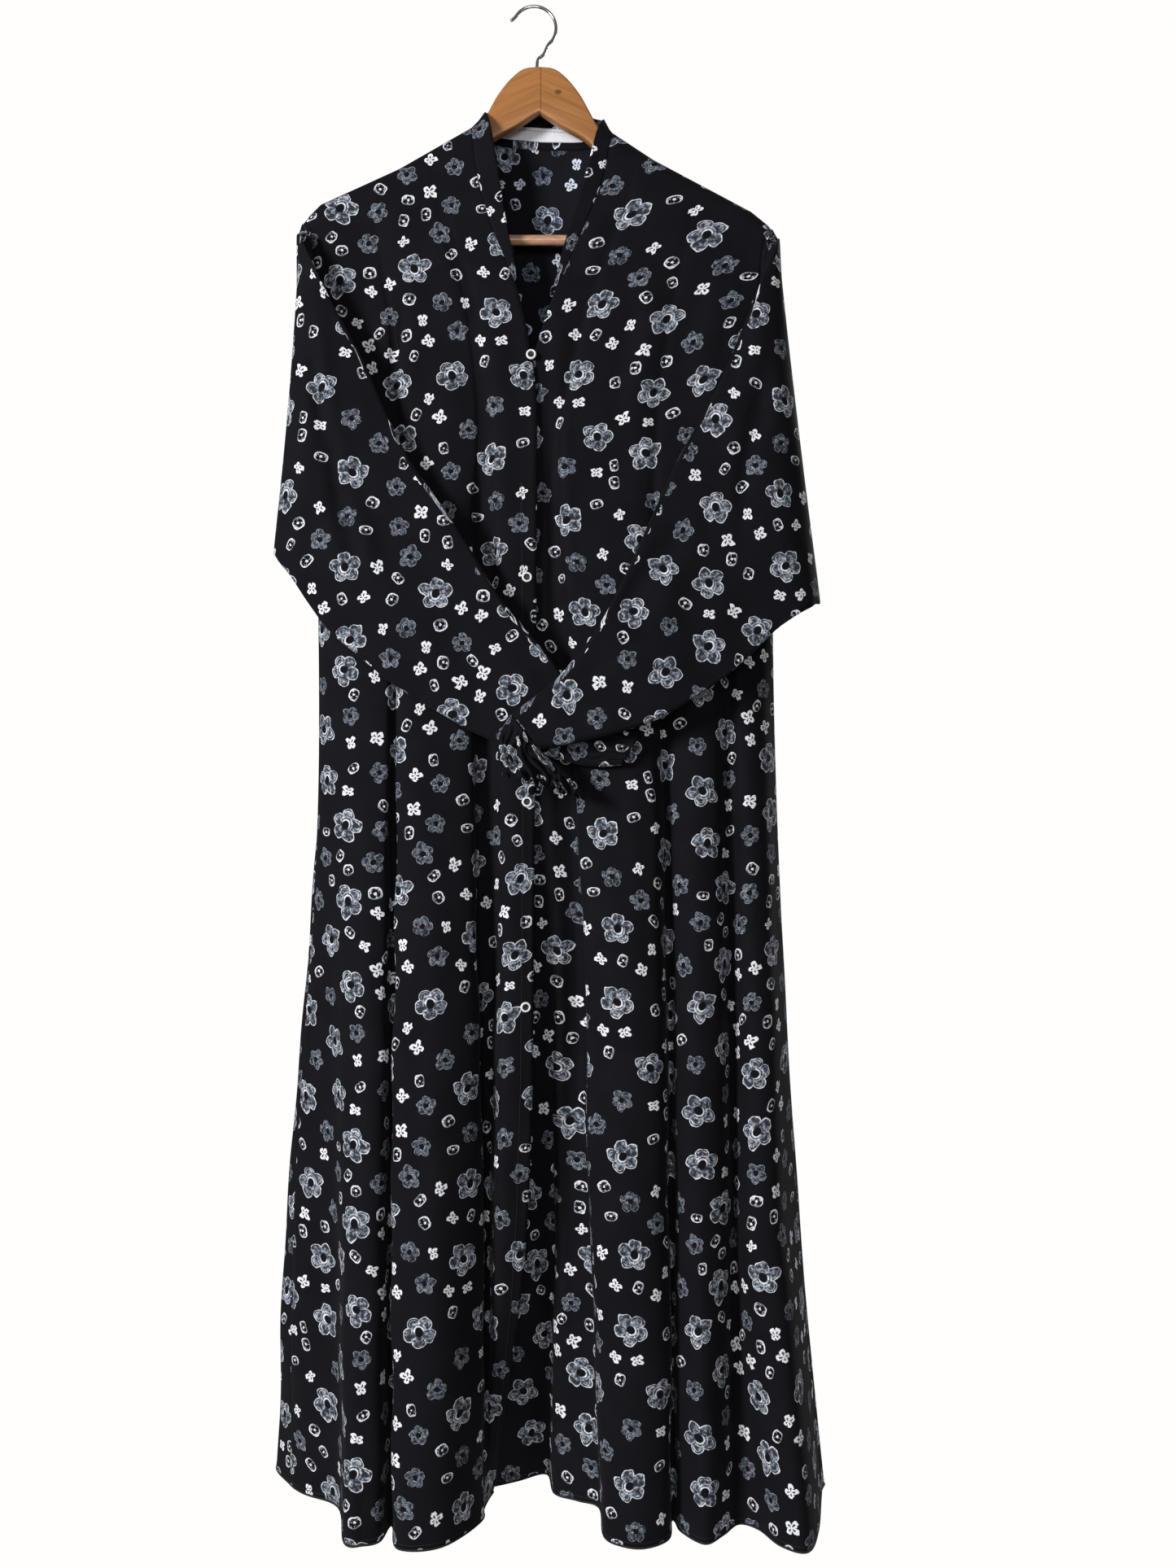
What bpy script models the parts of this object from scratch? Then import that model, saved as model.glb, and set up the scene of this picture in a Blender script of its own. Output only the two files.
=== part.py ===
"""An open-front cloak with long sleeves on a wooden clothes hanger.

Lengths in the tables are millimetres, in the part's own frame: X to the viewer's right, Y away
from the viewer, Z up, with the origin on the inner crown of the hanger's hook.
"""
import math

import bmesh
import bpy
import numpy as np
from mathutils import Vector

MM = 0.001

# Driving dimensions
CLOTH_WALL = 1.5
COLLAR_WALL = 1.2
TAPE_WALL = 1.0
SEAM_GAP = 0.3
CHEST_Z = -475.0
WAIST_Z = -795.0
KNEE_Z = -1185.0
HEM_Z = -1465.0
SHOULDER_ROUND = 14.0     # height over which the cloth rounds over the hanger's arms
SHOULDER_DEPTH = 13.0     # depth of the cloth from the shoulder seam below that rounding
ARMHOLE_HALF = 14.0       # half the armhole's opening, front to back
SLEEVE_LAP = 1.8          # the sleeve's first ring lies this far outside the armhole's edge
COLUMNS_PER_ROW = 2       # grid columns between two rows of a section table

WOOD_HALF = 5.5
WOOD_CHAMFER = 1.0
HOOK_WIRE = 1.5
HOOK_RADIUS = 21.5
HOOK_CENTRE = (-3.0, -20.0)
BAR_RADIUS = 5.0
BAR_Z = -228.5
BAR_HALF_LENGTH = 200.3
SNAP_RING = 3.8
SNAP_WIRE = 1.2
SNAP_LIFT = 0.8

# Places down the cloak above the chest, as a share of the way from the shoulder seam
TOP_ROWS = (0.0, 0.012, 0.045, 0.15, 0.3, 0.48, 0.66, 0.83)
ROWS_BELOW = {"waist": 3, "knee": 4, "hem": 4}

# Across a front from its centre edge to the side seam, a row for each fold line: where it
# lies, X and Y, at the chest, the waist, the knee and the hem
FRONT_LEFT = (
    # name, chest x, y, waist x, y, knee x, y, hem x, y
    ("edge", 1, -30, -1, -36, -8, -36, -44, 10),
    ("strip", -36, -30, -29, -38, -35, -42, -47, 2),
    ("valley_a", -46, -25, -42, -22, -45, -10, -50, -9),
    ("valley_b", -55, -25, -58, -23, -52, -14, -52, -21),
    ("fold_a_right", -63, -29, -62, -40, -53, -45, -53, -40),
    ("fold_a", -96, -31, -95, -50, -88, -74, -84, -80),
    ("fold_a_left", -128, -29, -129, -46, -129, -68, -124, -84),
    ("valley_c", -133, -25, -134, -32, -135, -40, -134, -50),
    ("valley_c_end", -137, -25, -138, -32, -139, -40, -138, -50),
    ("fold_b_right", -142, -28, -143, -43, -144, -61, -143, -72),
    ("fold_b", -160, -28, -165, -42, -157, -66, -157, -78),
    ("fold_b_left", -178, -26, -184, -36, -177, -56, -175, -74),
    ("side_a", -191, -22, -198, -25, -195, -20, -193, -16),
    ("side_b", -205, -14, -210, -11, -226, -3, -235, 10),
    ("seam", -216, 0, -216, 2, -241, 10, -248, 24),
)
FRONT_RIGHT = (
    ("edge", -24, -25, -26, -31, -31, -20, -56, 17),
    ("under", -3, -25, -3, -31, -8, -14, -20, 31),
    ("recess_a", 8, -23, 12, -27, 15, 8, 8, 43),
    ("recess_b", 15, -21, 22, -22, 22, -1, 17, 8),
    ("recess_c", 20, -22, 31, -21, 35, -7, 40, -4),
    ("recess_d", 24, -27, 38, -25, 44, -20, 61, -18),
    ("fold_c_left", 32, -30, 43, -42, 47, -57, 65, -64),
    ("fold_c", 60, -31, 72, -50, 75, -72, 83, -80),
    ("fold_c_mid", 90, -31, 105, -48, 106, -72, 104, -82),
    ("fold_c_right", 104, -29, 117, -40, 124, -58, 125, -68),
    ("valley_d", 112, -26, 124, -24, 128, -32, 129, -40),
    ("valley_d_end", 116, -26, 128, -24, 132, -32, 133, -40),
    ("fold_d_left", 124, -28, 136, -36, 137, -54, 138, -57),
    ("fold_d", 145, -29, 154, -42, 155, -66, 158, -76),
    ("fold_d_right", 165, -28, 172, -36, 176, -54, 176, -62),
    ("valley_e", 178, -25, 187, -18, 190, -28, 193, -44),
    ("fold_e_left", 188, -24, 197, -30, 198, -48, 211, -53),
    ("fold_e", 200, -20, 208, -32, 212, -61, 228, -79),
    ("fold_e_right", 212, -17, 221, -24, 230, -58, 251, -88),
    ("side", 222, -12.5, 230, -11, 245, -28, 267, -52),
    ("seam", 229, 0, 236, 2, 257, 6, 281, 10),
)
# The back between the seams, from the viewer's left to right: also X along the top edge
BACK = (
    # name, top x, chest x, y, waist x, y, knee x, y, hem x, y
    ("wing_left", -222, -207, 12, -216, 14, -252, 28, -269, 56),
    ("turn_left", -205, -190, 19, -203, 25, -240, 46, -258, 80),
    ("fold_1", -180, -165, 22, -172, 34, -205, 60, -222, 90),
    ("valley_1", -153, -140, 22, -146, 24, -172, 38, -184, 60),
    ("fold_2", -122, -112, 23, -116, 35, -132, 62, -145, 92),
    ("valley_2", -92, -86, 22, -88, 25, -98, 40, -106, 62),
    ("fold_3", -63, -58, 23, -60, 36, -64, 62, -68, 91),
    ("valley_3", -52, -30, 22, -32, 26, -32, 42, -30, 66),
    ("fold_4", 4, 0, 23, -1, 37, 2, 64, 6, 92),
    ("valley_4", 62, 30, 22, 30, 26, 36, 42, 42, 64),
    ("fold_5", 73, 58, 23, 60, 36, 70, 62, 80, 90),
    ("valley_5", 103, 88, 22, 90, 25, 104, 38, 116, 58),
    ("fold_6", 132, 116, 23, 120, 35, 138, 58, 154, 84),
    ("valley_6", 160, 146, 22, 150, 24, 172, 34, 188, 50),
    ("fold_7", 186, 174, 21, 180, 32, 212, 46, 232, 64),
    ("turn_right", 208, 198, 18, 208, 24, 242, 34, 266, 46),
    ("wing_right", 223, 218, 11, 231, 14, 258, 20, 286, 28),
)
NECK_LEFT, NECK_RIGHT = "fold_3", "fold_5"

# The top edge across the cloak: shoulder, back neckline, shoulder
TOP_EDGE = (
    # x, z, y where it leaves the plane of the shoulder seams
    (-231, -214, 0), (-212, -195, 0), (-135, -160, 0), (-63, -119, 0),
    (-59, -121, 10), (-52, -123, 13), (-34, -127, 18), (4, -129, 21), (42, -131, 18),
    (62, -128, 13), (69, -126, 10), (73, -124, 0), (114, -151, 0), (210, -202, 0), (231, -219, 0),
)
# Down the neck edge of each front, and down each armhole, at the shares in EDGE_SHARES
EDGE_SHARES = (0.0, 0.045, 0.15, 0.3, 0.48, 0.66, 0.83, 1.0)
NECK_EDGE_LEFT = ((-63, -119), (-61, -137), (-56, -172), (-42, -222), (-20, -278), (-7, -335),
                  (1, -405), (1, -475))
NECK_EDGE_RIGHT = ((73, -124), (70, -141), (63, -175), (43, -226), (18, -285), (-3, -350),
                   (-18, -412), (-24, -475))
ARMHOLE_LEFT = ((-231, -214), (-224, -226), (-217, -253), (-213, -292), (-212, -339),
                (-214, -386), (-216, -431), (-216, -475))
ARMHOLE_RIGHT = ((231, -219), (227, -230), (222, -256), (221, -294), (222, -341),
                 (225, -387), (228, -431), (229, -475))
ARMHOLE_OPENS = (0.0, 0.06)    # shares where the armhole parts and closes again
ARMHOLE_CLOSES = (0.82, 0.95)

# The band round the neck: share of its length, then its height above the seam, as a step
COLLAR = (
    # share, x, y, z
    (0.0, 2.5, 0, 4), (0.125, 15, -1, 3), (0.23, 20, -3, 6), (0.3, 18, -5, 9),
    (0.34, 13, 0, 17), (0.42, 2, -3, 25), (0.58, -2, -3, 25), (0.655, -9, 0, 14),
    (0.69, -14, -3, 7), (0.77, -17, -2, 3), (0.87, -13, -1, 3), (1.0, -2.5, 0, 4),
)
COLLAR_ROWS_DOWN = 6          # rows of each front that the band's ends run along
TAPE_SHARES = (0.33, 0.54, 0.74, 0.94)
TAPE_LIFT = 1.6
TAPE_SKIP = 2                 # stations left bare between a shoulder seam and the tape's end

# Along a sleeve from the armhole: the ring's top and bottom ends, half the space between its
# layers, how far its middle bows, and which way its outer layer faces: 0 back, 180 front
SLEEVE_LEFT = (
    # name, top x, y, z, bottom x, y, z, half, bow, face
    ("turn_1", -230, -9, -223, -226, -10, -486, 8, -4, 40),
    ("fold", -222, -21, -233, -246, -22, -534, 5, -2, 90),
    ("turn_2", -220, -32, -243, -243, -35, -547, 6, -2, 140),
    ("upper_1", -208, -41, -276, -230, -46, -567, 6, 1, 180),
    ("upper_2", -190, -42, -312, -212, -48, -594, 6, 2, 180),
    ("upper_3", -165, -43, -358, -192, -51, -620, 6, 2, 180),
    ("elbow_1", -140, -44, -415, -166, -53, -642, 6, 2, 180),
    ("elbow_2", -116, -46, -461, -140, -54, -664, 6, 2, 180),
    ("lower_1", -90, -48, -497, -113, -55, -682, 6, 2, 180),
    ("lower_2", -64, -50, -537, -86, -55, -698, 6, 2, 180),
    ("lower_3", -38, -53, -580, -58, -55, -714, 6, 1, 180),
    ("lower_4", -13, -55, -612, -27, -56, -727, 5.5, 0, 180),
    ("lower_5", 11, -56, -640, 0, -56, -735, 5, 0, 180),
    ("wrist", 34, -56, -674, 22, -57, -738, 4.5, 0, 180),
)
SLEEVE_RIGHT = (
    ("turn_1", 232, -9, -227, 238, -10, -500, 8, -4, 40),
    ("fold", 228, -21, -240, 267, -22, -578, 5, -1, 90),
    ("turn_2", 226, -32, -250, 262, -35, -591, 6, -2, 140),
    ("upper_1", 214, -41, -286, 248, -46, -602, 6, 1, 180),
    ("upper_2", 198, -43, -328, 226, -50, -618, 6, 2, 180),
    ("upper_3", 175, -45, -382, 206, -53, -638, 6, 2, 180),
    ("elbow_1", 152, -47, -425, 186, -57, -656, 6, 2, 180),
    ("elbow_2", 130, -51, -467, 165, -63, -672, 6, 2, 180),
    ("lower_1", 110, -58, -512, 141, -69, -688, 6, 2, 180),
    ("lower_2", 88, -66, -562, 112, -74, -704, 6, 2, 180),
    ("lower_3", 58, -74, -620, 76, -76, -716, 6, 1, 180),
    ("lower_4", 26, -76, -660, 42, -77, -724, 6, 0, 180),
    ("lower_5", 3, -77, -681, 22, -77, -728, 6, 0, 180),
    ("wrist", -21, -77, -698, 5, -77, -730, 6, 0, 180),
)
# Along a gathered cuff from the sleeve's end to the ruffle's edge
CUFF_LEFT = (
    # name, top x, y, z, bottom x, y, z, half, wave
    ("band", 34.4, -56, -674.1, 22.4, -57, -738.1, 4.5, 0),
    ("elastic", 46, -57, -689, 35, -57, -744, 4.5, 0.5),
    ("ruffle_1", 62, -57, -701, 50, -57, -749, 5, 0.8),
    ("ruffle_2", 80, -57, -711, 68, -57, -752, 5.2, 1),
    ("ruffle_edge", 98, -57, -719, 86, -57, -752, 5.2, 1.2),
)
CUFF_RIGHT = (
    ("band", -21.5, -77, -698.4, 3.7, -77, -731.1, 6, 0),
    ("elastic", -28, -77, -712, 14, -77, -739, 6, 0.6),
    ("ruffle_1", -32, -76, -726, 27, -77, -749, 7.5, 2),
    ("ruffle_2", -31, -75, -740, 38, -77, -761, 9, 3),
    ("ruffle_edge", -28, -74, -752, 48, -77, -776, 10.5, 4),
)
CUFF_POINTS = 44
CUFF_WAVES = 11

# The snap fasteners down the left front's edge
SNAPS = ((-7, -348), (-7, -566), (-9, -778), (-9, -974))

# Half of the wooden body's outline, from the middle to the arm's end and back underneath
WOOD_MIDDLE_X = 2.0
WOOD_HALF_OUTLINE = (
    (0, -60), (15, -62), (28, -72), (40, -87), (48, -101), (55, -114), (61, -123), (66, -127),
    (102, -150), (137, -170), (192, -199), (209, -209), (218, -218), (219, -228), (216, -236),
    (210, -239), (200.7, -237), (200.7, -223), (176, -211), (136, -190), (66, -148), (44, -130),
    (20, -117), (0, -104),
)

CLOTH = ("black_print_cloth", (0.011, 0.011, 0.014), 0.85, 0.0)
WOOD = ("hanger_wood", (0.32, 0.11, 0.03), 0.45, 0.0)
BAR_WOOD = ("bar_wood", (0.42, 0.19, 0.1), 0.5, 0.0)
STEEL = ("hook_steel", (0.6, 0.6, 0.6), 0.2, 1.0)
TAPE = ("neck_tape_white", (0.75, 0.74, 0.8), 0.8, 0.0)
SNAP = ("snap_white", (0.8, 0.8, 0.8), 0.35, 0.0)


def material(finish):
    name, colour, roughness, metallic = finish
    found = bpy.data.materials.get(name)
    if found:
        return found
    made = bpy.data.materials.new(name)
    made.use_nodes = True
    shader = made.node_tree.nodes["Principled BSDF"]
    shader.inputs["Base Color"].default_value = (*colour, 1.0)
    shader.inputs["Roughness"].default_value = roughness
    shader.inputs["Metallic"].default_value = metallic
    return made


def add(name, mesh, finish, collection):
    mesh.materials.clear()
    mesh.materials.append(material(finish))
    made = bpy.data.objects.new(name, mesh)
    collection.objects.link(made)
    return made


def spline(rows, steps):
    """Smooth curve through the rows, each a set of channels, with steps samples a span."""
    rows = np.array(rows, float)
    ends = np.vstack([2 * rows[0] - rows[1], rows, 2 * rows[-1] - rows[-2]])
    made = []
    for i in range(len(rows) - 1):
        before, a, b, after = ends[i:i + 4]
        for s in range(steps):
            t = s / steps
            made.append(0.5 * (2 * a + (b - before) * t
                               + (2 * before - 5 * a + 4 * b - after) * t ** 2
                               + (3 * a - before - 3 * b + after) * t ** 3))
    made.append(rows[-1])
    return np.array(made)


def smooth_step(value, low, high):
    t = np.clip((value - low) / (high - low), 0.0, 1.0)
    return t * t * (3 - 2 * t)


def wall(name, middle, normals, thickness, closed=False):
    """A closed wall round a grid of points: rows by columns, or by points of a ring."""
    rows, columns = middle.shape[:2]
    half = normals * thickness / 2
    bm = bmesh.new()
    sides = []
    for side in (middle + half, middle - half):
        sides.append([[bm.verts.new(point * MM) for point in row] for row in side])
    across = range(columns if closed else columns - 1)
    outer, inner = sides
    for r in range(rows - 1):
        for c in across:
            d = (c + 1) % columns
            bm.faces.new((outer[r][c], outer[r][d], outer[r + 1][d], outer[r + 1][c]))
            bm.faces.new((inner[r][c], inner[r + 1][c], inner[r + 1][d], inner[r][d]))
    for r in (0, rows - 1):
        for c in across:
            d = (c + 1) % columns
            bm.faces.new((outer[r][c], inner[r][c], inner[r][d], outer[r][d]))
    if not closed:
        for c in (0, columns - 1):
            for r in range(rows - 1):
                bm.faces.new((outer[r][c], outer[r + 1][c], inner[r + 1][c], inner[r][c]))
    bmesh.ops.recalc_face_normals(bm, faces=bm.faces)
    mesh = bpy.data.meshes.new(name)
    bm.to_mesh(mesh)
    bm.free()
    mesh.shade_smooth()
    mesh.set_sharp_from_angle(angle=math.radians(60))
    return mesh


def grid_normals(points, closed=False):
    """Unit normals of a grid, from the steps along its columns and down its rows."""
    if closed:
        along = np.roll(points, -1, axis=1) - np.roll(points, 1, axis=1)
    else:
        along = np.gradient(points, axis=1)
    down = np.gradient(points, axis=0)
    normals = np.cross(along, down)
    return normals / np.linalg.norm(normals, axis=2, keepdims=True)


def along_edge(points, share):
    """The X and Z of an edge that is listed at EDGE_SHARES, at a share of its way down."""
    points = np.array(points, float)
    return np.array([np.interp(share, EDGE_SHARES, points[:, i]) for i in (0, 1)])


def top_edge(x):
    """The X, Y and Z of the top edge where it passes X."""
    known = np.array(TOP_EDGE, float)
    return np.array([x, np.interp(x, known[:, 0], known[:, 2]),
                     np.interp(x, known[:, 0], known[:, 1])])


def opened(share):
    """How far the armhole's edges stand from the seam's line, at a share down the edge."""
    part = smooth_step(share, *ARMHOLE_OPENS) * (1 - smooth_step(share, *ARMHOLE_CLOSES))
    return ARMHOLE_HALF * part


def section_rows():
    """All fold lines round the cloak, from the left front's edge to the right front's."""
    rows = []
    for table, neck, tip in ((FRONT_LEFT, NECK_EDGE_LEFT, ARMHOLE_LEFT),
                             (FRONT_RIGHT, NECK_EDGE_RIGHT, ARMHOLE_RIGHT)):
        first, last = table[0][1], table[-1][1]
        shares = [(row[1] - first) / (last - first) for row in table]
        tops = [neck[0][0] + share * (tip[0][0] - neck[0][0]) for share in shares]
        rows.append([(top, *row[1:]) for top, row in zip(tops, table)])
    left, right = rows
    return left + [row[1:] for row in BACK] + right[::-1]


def body_columns():
    """The section lines in full, and the columns at which the panels meet."""
    lines = spline(section_rows(), COLUMNS_PER_ROW)
    left_seam = (len(FRONT_LEFT) - 1) * COLUMNS_PER_ROW
    right_seam = (len(FRONT_LEFT) + len(BACK)) * COLUMNS_PER_ROW
    return lines, left_seam, right_seam


def patch(lines, edge_a, edge_b, share):
    """X and Z of one row of a panel above the chest, filled in between its four edges."""
    top = np.array([top_edge(line[0])[[0, 2]] for line in lines])
    chest = np.stack([lines[:, 1], np.full(len(lines), CHEST_Z)], axis=1)
    f = ((lines[:, 1] - lines[0, 1]) / (lines[-1, 1] - lines[0, 1]))[:, None]
    a, b = along_edge(edge_a, share), along_edge(edge_b, share)
    v = share
    corners = ((1 - v) * ((1 - f) * top[0] + f * top[-1]) + v * ((1 - f) * chest[0] + f * chest[-1]))
    return (1 - f) * a + f * b + (1 - v) * top + v * chest - corners


def depths(lines, xz, share):
    """Y of one row above the chest: rounding over the hanger's arms, then on to the chest."""
    tops = np.array([top_edge(line[0]) for line in lines])
    drop = np.clip((tops[:, 2] - xz[:, 1]) / SHOULDER_ROUND, 0, 1)
    rounding = np.sqrt(1 - (1 - drop) ** 2)
    chest = lines[:, 2]
    reach = np.sign(chest) * np.maximum(np.minimum(SHOULDER_DEPTH, np.abs(chest)) - tops[:, 1], 0)
    return tops[:, 1] + reach * rounding + (chest - tops[:, 1] - reach) * share


def body_grid():
    """The middle surface of fronts and back in one grid, rows down and columns round."""
    lines, left, right = body_columns()
    panels = ((0, left, NECK_EDGE_LEFT, ARMHOLE_LEFT), (left, right, ARMHOLE_LEFT, ARMHOLE_RIGHT),
              (right, len(lines) - 1, ARMHOLE_RIGHT, NECK_EDGE_RIGHT))
    grid = []
    for share in TOP_ROWS:
        row = np.zeros((len(lines), 3))
        for first, last, edge_a, edge_b in panels:
            part = lines[first:last + 1]
            xz = patch(part, edge_a, edge_b, share)
            row[first:last + 1, 0] = xz[:, 0]
            row[first:last + 1, 1] = depths(part, xz, share)
            row[first:last + 1, 2] = xz[:, 1]
        grid.append(row)
    heights = (CHEST_Z, WAIST_Z, KNEE_Z, HEM_Z)
    levels = [np.column_stack([lines[:, i], lines[:, i + 1], np.full(len(lines), z)])
              for i, z in zip((1, 3, 5, 7), heights)]
    steps = tuple(ROWS_BELOW.values())
    slopes = [(levels[1] - levels[0]) / (WAIST_Z - CHEST_Z),
              (levels[2] - levels[0]) / (KNEE_Z - CHEST_Z),
              (levels[3] - levels[1]) / (HEM_Z - WAIST_Z),
              (levels[3] - levels[2]) / (HEM_Z - KNEE_Z)]
    for i, count in enumerate(steps):
        span = heights[i + 1] - heights[i]
        for s in range(count):
            t = s / count
            grid.append((2 * t ** 3 - 3 * t ** 2 + 1) * levels[i]
                        + (t ** 3 - 2 * t ** 2 + t) * span * slopes[i]
                        + (3 * t ** 2 - 2 * t ** 3) * levels[i + 1]
                        + (t ** 3 - t ** 2) * span * slopes[i + 1])
    grid.append(levels[-1])
    return np.array(grid), left, right


def body_normals(grid, left, right):
    """Normals of the whole grid, with level ends along the shoulder seams."""
    normals = grid_normals(grid)
    flat = np.abs(grid[0, :, 1]) < 1.0
    normals[0, flat, 1] = 0
    normals[0] /= np.linalg.norm(normals[0], axis=1, keepdims=True)
    return normals


def panel(grid, normals, first, last, depth_side):
    """One panel's share of the grid, parted from its neighbours at seams and armholes."""
    points = grid[:, first:last + 1].copy()
    shares = np.array(TOP_ROWS)
    meets_left, meets_right = first > 0, last < grid.shape[1] - 1
    for meets, column, beside in ((meets_left, 0, 1), (meets_right, -1, -2)):
        if meets:
            points[:, column, 1] += depth_side * SEAM_GAP / 2
            points[:len(shares), column, 1] += depth_side * opened(shares)
            points[:len(shares), beside, 1] += depth_side * opened(shares) / 2
    seam = np.abs(points[0, :, 1]) < 1.0
    points[0, seam, 1] = depth_side * SEAM_GAP / 2
    facing = normals[:, first:last + 1].copy()
    own = grid_normals(points)
    parted = np.nonzero(opened(shares) > ARMHOLE_HALF / 4)[0]
    for meets, columns in ((meets_left, slice(0, 3)), (meets_right, slice(-3, None))):
        if meets:
            facing[parted, columns] = own[parted, columns]
    return points, facing


def sleeve_rings(table, armhole, side):
    """The rings of a sleeve: each a flat round-ended loop, the first round the armhole."""
    spots = (1.0, 0.5, 0.0, -0.5, -1.0)
    bends = (45, 90, 135)
    rings = []
    first = []
    shares = (0.07, 0.26, 0.45, 0.64, 0.83)
    for share, facing in [(s, 1) for s in shares] + [("low", 0)] + [(s, -1) for s in shares[::-1]]:
        if share == "low":
            x, z = along_edge(armhole, 0.9)
            step = SLEEVE_LAP + 0.5
            half = opened(0.88)
            first += [(x + side * step, half * 0.8, z - 2), (x + side * step, 0, z - 8),
                      (x + side * step, -half * 0.8, z - 2)]
            continue
        x, z = along_edge(armhole, share)
        first.append((x + side * SLEEVE_LAP, facing * opened(share), z))
    x, z = along_edge(armhole, 0.0)
    tip = np.array([x, 0, z])
    first += [tip + (side * 1.4, -7, -5.5), tip + (side * 2.6, 0, -1.5), tip + (side * 1.4, 7, -5.5)]
    rings.append(np.array(first, float))
    for _, tx, ty, tz, bx, by, bz, half, bow, face in table:
        top, bottom = np.array([tx, ty, tz], float), np.array([bx, by, bz], float)
        centre, reach = (top + bottom) / 2, (top - bottom) / 2
        length = np.linalg.norm(reach)
        axis = reach / length
        turn = math.radians(face)
        out = np.array([side * math.sin(turn), math.cos(turn), 0.0])
        straight = length - half
        ring = [centre + axis * spot * straight + out * (half + bow * (1 - spot ** 2))
                for spot in spots]
        ring += [centre - axis * (straight + half * math.sin(math.radians(b)))
                 + out * half * math.cos(math.radians(b)) for b in bends]
        ring += [centre - axis * spot * straight - out * (half - bow * (1 - spot ** 2))
                 for spot in spots]
        ring += [centre + axis * (straight + half * math.sin(math.radians(b)))
                 - out * half * math.cos(math.radians(b)) for b in bends]
        rings.append(np.array(ring))
    return np.array(rings)


def cuff_rings(table):
    """The rings of a gathered cuff, with waves that grow towards the ruffle's edge."""
    rings = []
    for _, tx, ty, tz, bx, by, bz, half, wave in table:
        top, bottom = np.array([tx, ty, tz], float), np.array([bx, by, bz], float)
        centre, reach = (top + bottom) / 2, (top - bottom) / 2
        length = np.linalg.norm(reach)
        axis, out = reach / length, np.array([0.0, -1.0, 0.0])
        turns = np.arange(CUFF_POINTS) * 2 * math.pi / CUFF_POINTS
        ring = []
        for turn in turns:
            along, across = math.cos(turn), math.sin(turn)
            rounded = math.copysign(abs(across) ** 0.7, across)
            ripple = wave * math.cos(CUFF_WAVES * turn) * across * abs(across)
            ring.append(centre + axis * along * length + out * (half * rounded + ripple))
        rings.append(ring)
    return np.array(rings)


def build_body(collection):
    grid, left, right = body_grid()
    normals = body_normals(grid, left, right)
    last = grid.shape[1] - 1
    parts = {"front_left": (0, left, -1), "back": (left, right, 1), "front_right": (right, last, -1)}
    made = {}
    for name, (first, end, side) in parts.items():
        points, facing = panel(grid, normals, first, end, side)
        made[name] = (points, facing)
        add(name, wall(name, points, facing, CLOTH_WALL), CLOTH, collection)
    return made


def build_collar(panels, collection):
    """The neck band along the fronts' neck edges and the back neckline, and its white tape."""
    left = panels["front_left"][0][:COLLAR_ROWS_DOWN, 0][::-1]
    right = panels["front_right"][0][:COLLAR_ROWS_DOWN, -1]
    names = [row[0] for row in BACK]
    first, last = ((names.index(n) + 1) * COLUMNS_PER_ROW for n in (NECK_LEFT, NECK_RIGHT))
    back = panels["back"][0][0, first:last + 1]
    seam = np.vstack([left[:-1], back, right[1:]])
    steps = np.linalg.norm(np.diff(seam, axis=0), axis=1)
    shares = np.concatenate([[0], np.cumsum(steps)]) / steps.sum()
    table = np.array(COLLAR, float)
    stand = np.column_stack([np.interp(shares, table[:, 0], table[:, i]) for i in (1, 2, 3)])
    length = np.linalg.norm(stand, axis=1, keepdims=True)
    gap = 0.45 + 0.75 * stand[:, 2:3] / length
    base = seam + stand / length * gap
    rows = np.array([base, base + stand * 0.55, base + stand])
    add("collar", wall("collar", rows, grid_normals(rows), COLLAR_WALL), CLOTH, collection)
    start = len(left) - 1 + TAPE_SKIP
    end = len(left) - 1 + last - first - TAPE_SKIP
    lift = np.array([0, -TAPE_LIFT, 0])
    tape = np.array([base[start:end + 1] + stand[start:end + 1] * share + lift
                     for share in TAPE_SHARES])
    add("neck_tape", wall("neck_tape", tape, grid_normals(tape), TAPE_WALL), TAPE, collection)


def build_sleeves(collection):
    for name, table, armhole, side in (("sleeve_left", SLEEVE_LEFT, ARMHOLE_LEFT, -1),
                                       ("sleeve_right", SLEEVE_RIGHT, ARMHOLE_RIGHT, 1)):
        rings = sleeve_rings(table, armhole, side)
        mesh = wall(name, rings, grid_normals(rings, closed=True), CLOTH_WALL, closed=True)
        add(name, mesh, CLOTH, collection)
    for name, table in (("cuff_left", CUFF_LEFT), ("cuff_right", CUFF_RIGHT)):
        rings = cuff_rings(table)
        mesh = wall(name, rings, grid_normals(rings, closed=True), CLOTH_WALL, closed=True)
        add(name, mesh, CLOTH, collection)


def build_snaps(panels, collection):
    """Ring-shaped snaps on the left front, each turned to lie along the cloth."""
    points, facing = panels["front_left"]
    for number, (x, z) in enumerate(SNAPS, 1):
        rows = np.array([np.interp(x, row[:3, 0][::-1], row[:3, 1][::-1]) for row in points])
        heights = points[:, 0, 2]
        y = np.interp(-z, -heights, rows)
        normal = np.array([np.interp(-z, -heights, facing[:, 1, i]) for i in range(3)])
        normal /= np.linalg.norm(normal)
        lift = CLOTH_WALL / 2 + SNAP_LIFT + SNAP_WIRE
        bpy.ops.mesh.primitive_torus_add(major_radius=SNAP_RING * MM, minor_radius=SNAP_WIRE * MM,
                                         major_segments=14, minor_segments=6)
        ring = bpy.context.object
        ring.name = f"snap_{number}"
        ring.data.materials.append(material(SNAP))
        ring.data.shade_smooth()
        ring.location = (np.array([x, y, z]) + normal * lift) * MM
        ring.rotation_euler = Vector(normal).to_track_quat("Z", "Y").to_euler()
        for other in ring.users_collection:
            other.objects.unlink(ring)
        collection.objects.link(ring)


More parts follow.
